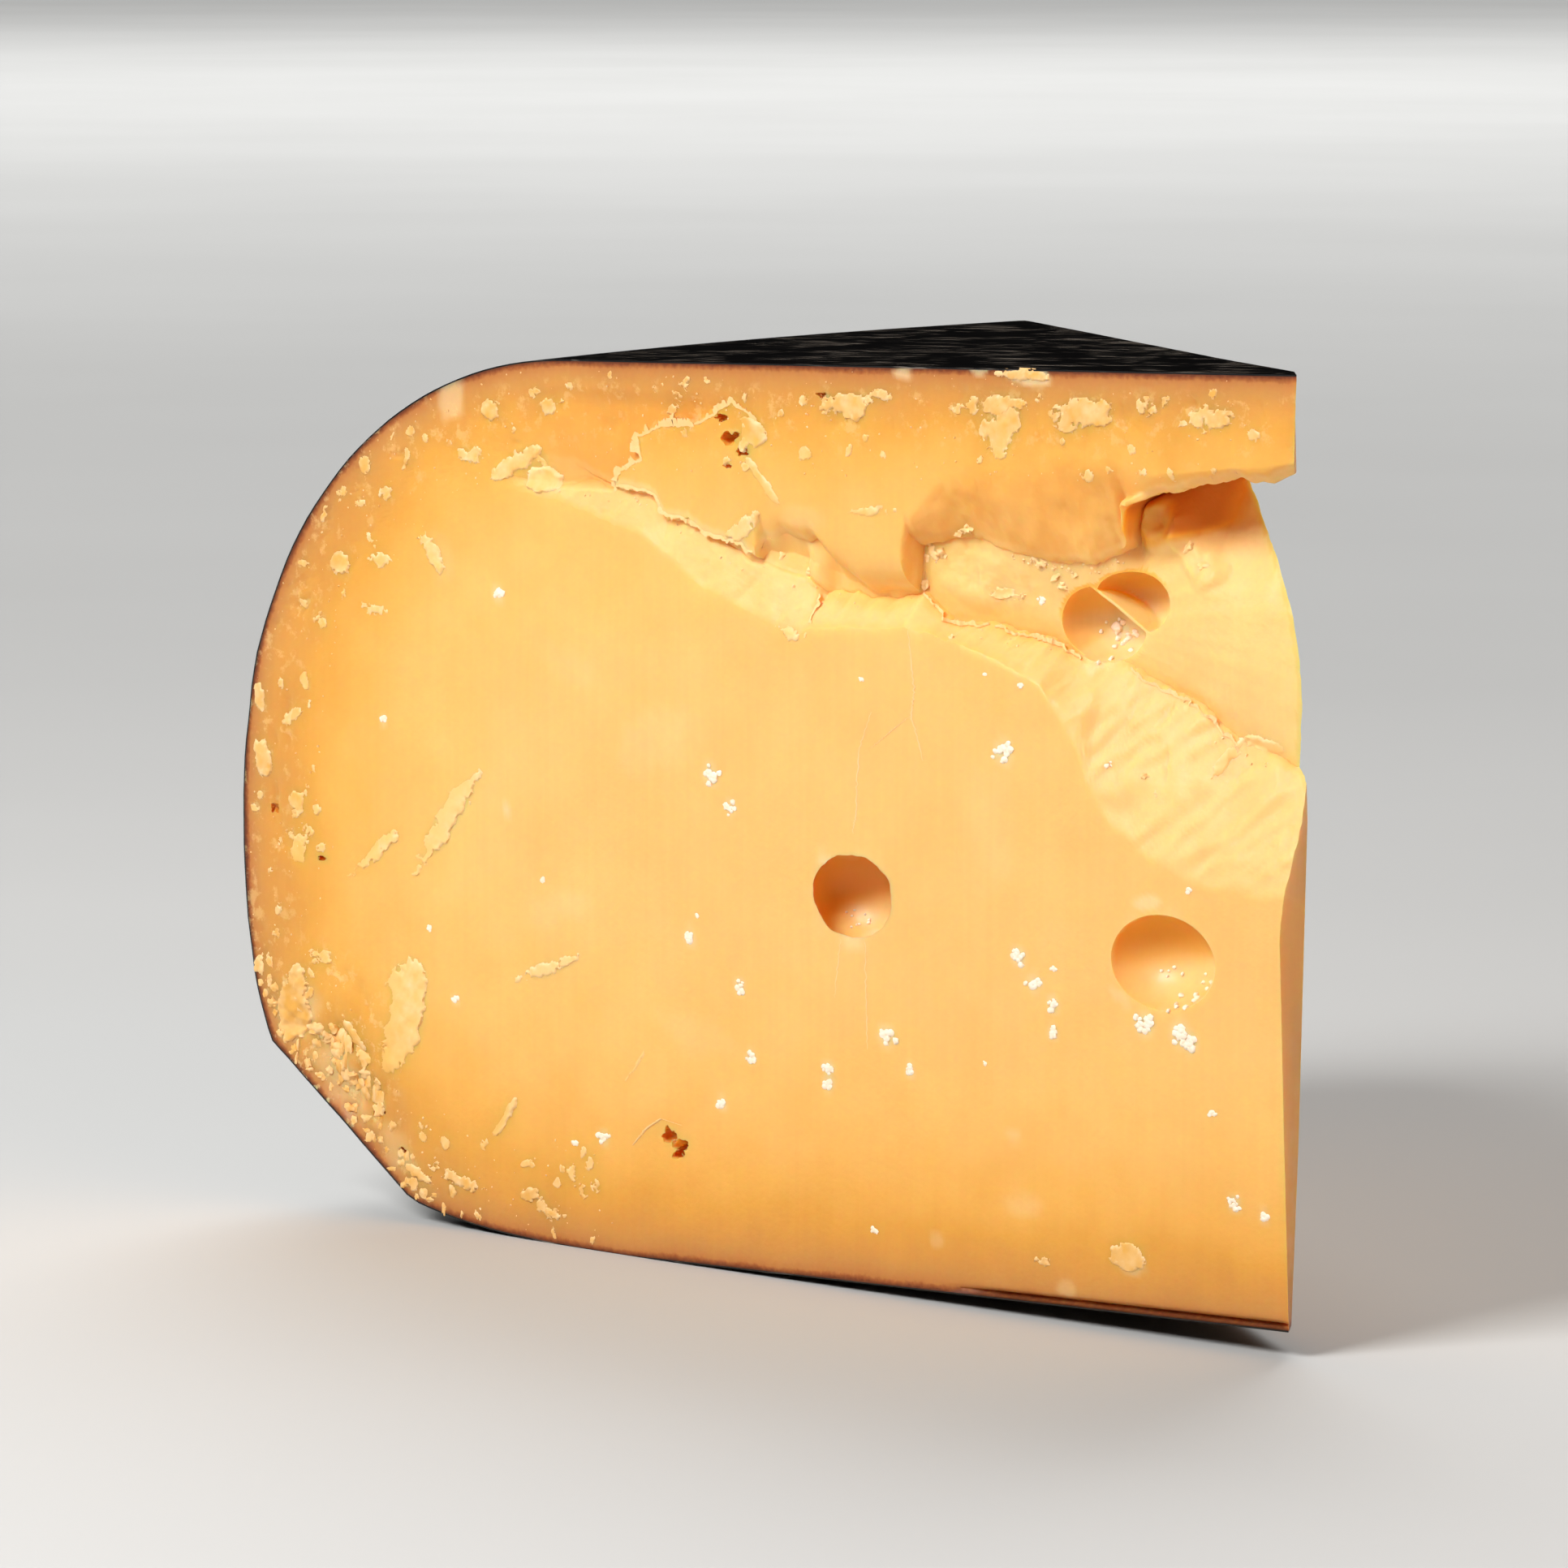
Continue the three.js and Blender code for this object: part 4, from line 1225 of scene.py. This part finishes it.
class Nodes:
    """A short way to write the nodes of a material or of the world."""

    def __init__(self, owner, shader="BsdfPrincipled", output="OutputMaterial"):
        owner.use_nodes = True
        self.owner, self.tree = owner, owner.node_tree
        self.tree.nodes.clear()
        self.shader = self.add(shader)
        self.add(output, {0: self.shader.outputs[0]})

    def add(self, kind, feeds=(), **settings):
        made = self.tree.nodes.new("ShaderNode" + kind)
        for key, value in settings.items():
            setattr(made, key, value)
        for key, value in dict(feeds).items():
            self.feed(made.inputs[key], value)
        return made

    def feed(self, socket, value):
        """Links a socket, or sets a constant on it."""
        if isinstance(value, bpy.types.NodeSocket):
            self.tree.links.new(value, socket)
        else:
            socket.default_value = value

    def set(self, **sockets):
        """Feeds sockets of the shader, whose names are given with _ for a space."""
        for key, value in sockets.items():
            self.feed(self.shader.inputs[key.replace("_", " ")], value)

    def attribute(self, name):
        return self.add("Attribute", attribute_name=name).outputs["Fac"]

    def math(self, operation, a, b=0.0, clamp=False):
        return self.add("Math", {0: a, 1: b}, operation=operation, use_clamp=clamp).outputs[0]

    def mix(self, amount, a, b, blend="MIX"):
        feeds = {0: amount, 6: a, 7: b}
        return self.add("Mix", feeds, data_type="RGBA", blend_type=blend).outputs[2]

    def noise(self, size_mm, stretch=(1, 1, 1), detail=3.0, roughness=0.5):
        """Noise between 0 and 1, with lumps of about the given size."""
        scale = [s * 1000 / size_mm for s in stretch]
        place = self.add("TexCoord").outputs["Object"]
        scaled = self.add("Mapping", {"Vector": place, "Scale": scale}).outputs[0]
        feeds = {"Vector": scaled, "Scale": 1, "Detail": detail, "Roughness": roughness}
        return self.add("TexNoise", feeds).outputs["Fac"]

    def ramp(self, value, stops):
        """A colour by value, between stops of (value, linear colour)."""
        made = self.add("ValToRGB", {0: value})
        elements = made.color_ramp.elements
        while len(elements) < len(stops):
            elements.new(0.5)
        for element, (place, colour) in zip(elements, stops):
            element.position = place
            element.color = (*colour, 1)
        return made.outputs[0]

    def bump(self, height, distance_mm, strength):
        feeds = {"Height": height, "Distance": distance_mm / 1000, "Strength": strength}
        self.set(Normal=self.add("Bump", feeds).outputs[0])


def srgb(r, g, b):
    """A colour given as it is seen on a screen, 0 to 255, as linear values."""
    return tuple(((c / 255 + 0.055) / 1.055) ** 2.4 if c > 10 else c / 3295 for c in (r, g, b))


def rgba(r, g, b):
    return (*srgb(r, g, b), 1)


def rind_place(mm):
    """Place between 0 and 1 of a distance from the rind on the colour scale of the paste."""
    return math.sqrt(mm / RIND_RANGE)


PASTE_STOPS = [              # colour of the paste by distance from the surface of the wheel
    (0.0, (96, 44, 20)), (0.35, (126, 60, 28)), (0.7, (172, 98, 48)), (1.0, (198, 130, 68)),
    (1.6, (206, 141, 74)), (2.6, (212, 151, 76)), (4.2, (222, 158, 74)), (7, (233, 170, 72)),
    (11, (243, 183, 87)), (17, (248, 191, 103)), (27, (250, 198, 113)), (40, (249, 198, 119)),
]


def paste_colour(nodes):
    """Colour of the paste at its distance from the rind, slightly uneven."""
    depth = nodes.attribute("rind_depth")
    wander = nodes.math("SUBTRACT", nodes.noise(7), 0.5)
    uneven = nodes.math("MULTIPLY", wander, nodes.math("MULTIPLY", depth, 0.8))
    fine = nodes.math("MULTIPLY", nodes.math("SUBTRACT", nodes.noise(0.8), 0.5), 0.7)
    place = nodes.math("ADD", nodes.math("ADD", depth, uneven), fine)
    place = nodes.math("DIVIDE", nodes.math("MAXIMUM", place, 0), RIND_RANGE)
    place = nodes.math("SQRT", place)
    return nodes.ramp(place, [(rind_place(mm), srgb(*c)) for mm, c in PASTE_STOPS])


BLACK, WHITE = (0, 0, 0), (1, 1, 1)


def paste_material():
    """The paste: pale where it is broken or smeared, and on two lit walls of gas holes as painted
    light;
    darker orange as painted shade in the hollows, the pocket and the holes, and partly on the waxy
    slope;
    flecked near the rind.
    """
    nodes = Nodes(bpy.data.materials.new("aged_paste"))
    broken, waxy_and_shaded = nodes.attribute("broken"), nodes.attribute("waxy_and_shaded")
    bubble, shade = nodes.attribute("bubble"), nodes.attribute("shade")
    colour = nodes.mix(nodes.math("MULTIPLY", broken, 0.75), paste_colour(nodes), rgba(251, 209, 138))
    # Waxy paste is darker orange; on the slope that faces down this is partly painted shade.
    colour = nodes.mix(nodes.math("MULTIPLY", waxy_and_shaded, 0.72), colour, rgba(236, 163, 70))
    # Pale smears and crystal haloes; on two lit walls of gas holes this paleness is partly painted
    # light.
    smeared_and_lit = nodes.math("MULTIPLY", nodes.attribute("smeared_and_lit"), 0.6)
    colour = nodes.mix(smeared_and_lit, colour, rgba(255, 226, 176))
    flecks = nodes.noise(2.2, detail=8, roughness=0.65)
    flecks = nodes.ramp(flecks, [(0.55, BLACK), (0.64, WHITE)])
    flecks = nodes.math("MULTIPLY", flecks, nodes.attribute("crumbly"))
    colour = nodes.mix(nodes.math("MULTIPLY", flecks, 0.75), colour, rgba(252, 214, 148))
    mottled = nodes.ramp(nodes.noise(11, detail=4), [(0.3, (0.96, 0.93, 0.89)), (0.7, WHITE)])
    colour = nodes.mix(1.0, colour, mottled, "MULTIPLY")
    drawn = nodes.noise(0.9, stretch=(1, 1, 0.03))     # upright marks of the knife
    drawn = nodes.ramp(drawn, [(0.4, (0.99, 0.982, 0.97)), (0.6, WHITE)])
    colour = nodes.mix(1.0, colour, drawn, "MULTIPLY")
    # Painted shade: the stored shade tints the paste darker and more orange, from none to the deepest
    # shade.
    tint = nodes.ramp(shade, [(0, WHITE), (0.3, (1, 0.82, 0.45)), (0.62, (1, 0.68, 0.2)),
                              (1, (0.8, 0.42, 0.13))])
    nodes.set(Base_Color=nodes.mix(1.0, colour, tint, "MULTIPLY"))
    shine = nodes.ramp(nodes.noise(2.5), [(0.3, (0.40,) * 3), (0.7, (0.55,) * 3)])
    shine = nodes.math("SUBTRACT", shine, nodes.math("MULTIPLY", bubble, 0.1))
    nodes.set(Roughness=nodes.math("ADD", shine, nodes.math("MULTIPLY", broken, 0.06)))
    nodes.set(Specular_IOR_Level=0.35)
    grain = nodes.math("ADD", nodes.noise(0.9, detail=4), nodes.math("MULTIPLY", nodes.noise(3), 0.6))
    grain = nodes.math("ADD", grain, nodes.math("MULTIPLY", flecks, 0.8))
    nodes.bump(nodes.math("MULTIPLY", grain, nodes.math("SUBTRACT", 1, bubble)), 0.09, 0.6)
    nodes.set(Subsurface_Weight=0.75, Subsurface_Scale=0.003, Subsurface_Radius=(1.0, 0.38, 0.13))
    return nodes.owner


def crumb_material():
    """Crumbs, flakes and cracks: the paste, paler by what each piece stores."""
    nodes = Nodes(bpy.data.materials.new("pale_crumb"))
    pale = nodes.math("MULTIPLY", nodes.attribute("pale"), 0.9)
    tone = nodes.ramp(nodes.noise(1.5), [(0.3, srgb(253, 213, 147)), (0.7, srgb(255, 228, 183))])
    nodes.set(Base_Color=nodes.mix(pale, paste_colour(nodes), tone), Roughness=0.6)
    nodes.bump(nodes.noise(0.6), 0.05, 0.6)
    return nodes.owner


def crystal_material():
    nodes = Nodes(bpy.data.materials.new("white_crystal"))
    tone = nodes.ramp(nodes.noise(0.7), [(0.3, srgb(255, 232, 200)), (0.7, srgb(255, 244, 226))])
    nodes.set(Base_Color=tone, Roughness=0.5)
    nodes.bump(nodes.noise(0.3), 0.04, 0.4)
    return nodes.owner


def wax_material():
    """Glossy black wax with patches of fine pale scratches along x."""
    nodes = Nodes(bpy.data.materials.new("black_wax_gloss"))
    scratch = nodes.noise(0.4, stretch=(0.03, 1, 1), detail=2)
    patchy = nodes.noise(9, detail=3)
    lines = nodes.ramp(scratch, [(0.59, BLACK), (0.65, WHITE)])
    lines = nodes.math("MULTIPLY", lines, nodes.ramp(patchy, [(0.43, BLACK), (0.57, WHITE)]))
    lines = nodes.math("MULTIPLY", lines, nodes.attribute("scratched"), clamp=True)
    scratched = nodes.math("MULTIPLY", lines, 0.7)
    nodes.set(Base_Color=nodes.mix(scratched, rgba(9, 8, 8), rgba(165, 152, 138)))
    nodes.set(Roughness=nodes.ramp(nodes.noise(4), [(0.3, (0.14,) * 3), (0.75, (0.24,) * 3)]))
    height = nodes.math("SUBTRACT", nodes.noise(14, detail=2), nodes.math("MULTIPLY", lines, 0.3))
    nodes.bump(height, 0.1, 0.4)
    return nodes.owner


def floor_material():
    nodes = Nodes(bpy.data.materials.new("pale_floor"))
    tone = nodes.ramp(nodes.noise(400), [(0.3, (0.50, 0.50, 0.49)), (0.7, (0.53, 0.53, 0.52))])
    nodes.set(Base_Color=tone, Roughness=0.9, Specular_IOR_Level=0.0)
    return nodes.owner


def wear(made, material):
    made.data.materials.clear()
    made.data.materials.append(material)


# ---------------------------------------------------------------- studio

def direction(azimuth, elevation):
    """The way from the middle of the scene to a place at these angles, in degrees."""
    a, e = math.radians(azimuth), math.radians(elevation)
    return Vector((math.sin(a) * math.cos(e), -math.cos(a) * math.cos(e), math.sin(e)))


def place_in_studio(name, data, place, sight):
    """Adds a camera or a light at a place, looking along `sight`."""
    made = bpy.data.objects.new(name, data)
    made.location = place
    made.rotation_mode = "QUATERNION"
    made.rotation_quaternion = sight.to_track_quat("-Z", "Y")
    bpy.context.scene.collection.objects.link(made)
    return made


def studio_camera():
    data = bpy.data.cameras.new("camera")
    data.lens = CAMERA_LENS
    data.sensor_width = CAMERA_SENSOR
    data.clip_end = CAMERA_REACH
    place = to_frame([CAMERA_FROM_TIP])[0]
    bpy.context.scene.camera = place_in_studio("camera", data, place,
                                               -direction(CAMERA_TURN, CAMERA_TILT))


def studio_lights():
    for name, (azimuth, elevation, distance, size, power, colour, aim) in LIGHTS.items():
        data = bpy.data.lights.new(name, "AREA")
        data.size = size
        data.energy = power
        data.color = colour
        place = direction(azimuth, elevation) * distance
        made = place_in_studio(name, data, place, Vector(aim) - place)
        if name.startswith("backdrop"):
            made.visible_glossy = False        # the wax reflects a dark room


def studio_world():
    """A dim room, dark below and lighter above."""
    world = bpy.data.worlds.new("studio")
    bpy.context.scene.world = world
    nodes = Nodes(world, "Background", "OutputWorld")
    place = nodes.add("TexCoord").outputs["Generated"]
    height = nodes.add("SeparateXYZ", {0: place}).outputs["Z"]
    nodes.set(Color=nodes.ramp(height, [(0.35, (0.02, 0.02, 0.02)), (0.9, WHITE)]), Strength=0.14)


def studio_floor():
    """A floor wide enough to fill the picture."""
    corners = [[-1, -1, 0], [1, -1, 0], [1, 1, 0], [-1, 1, 0]]
    made = make_object("floor", np.array(corners) * FLOOR_HALF, [[0, 1, 2, 3]])
    wear(made, floor_material())


# ---------------------------------------------------------------- everything together

def main():
    paste, wax = paste_material(), wax_material()
    face = Face()
    cheese = cheese_body(face)
    wear(cheese, paste)
    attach(cheese, "root")
    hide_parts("cheese")
    coat = wax_coat()
    wear(coat, wax)
    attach(coat, "root")
    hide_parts("wax_coat")
    crumb = crumb_material()
    small = {flakes(face): crumb, crumbs(face): crumb, cracks(face): crumb,
             crystals(face): crystal_material()}
    for made, material in small.items():
        wear(made, material)
        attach(made, "root")
    studio_floor()
    studio_camera()
    studio_world()
    studio_lights()
    bpy.context.scene.view_settings.view_transform = "Standard"


main()
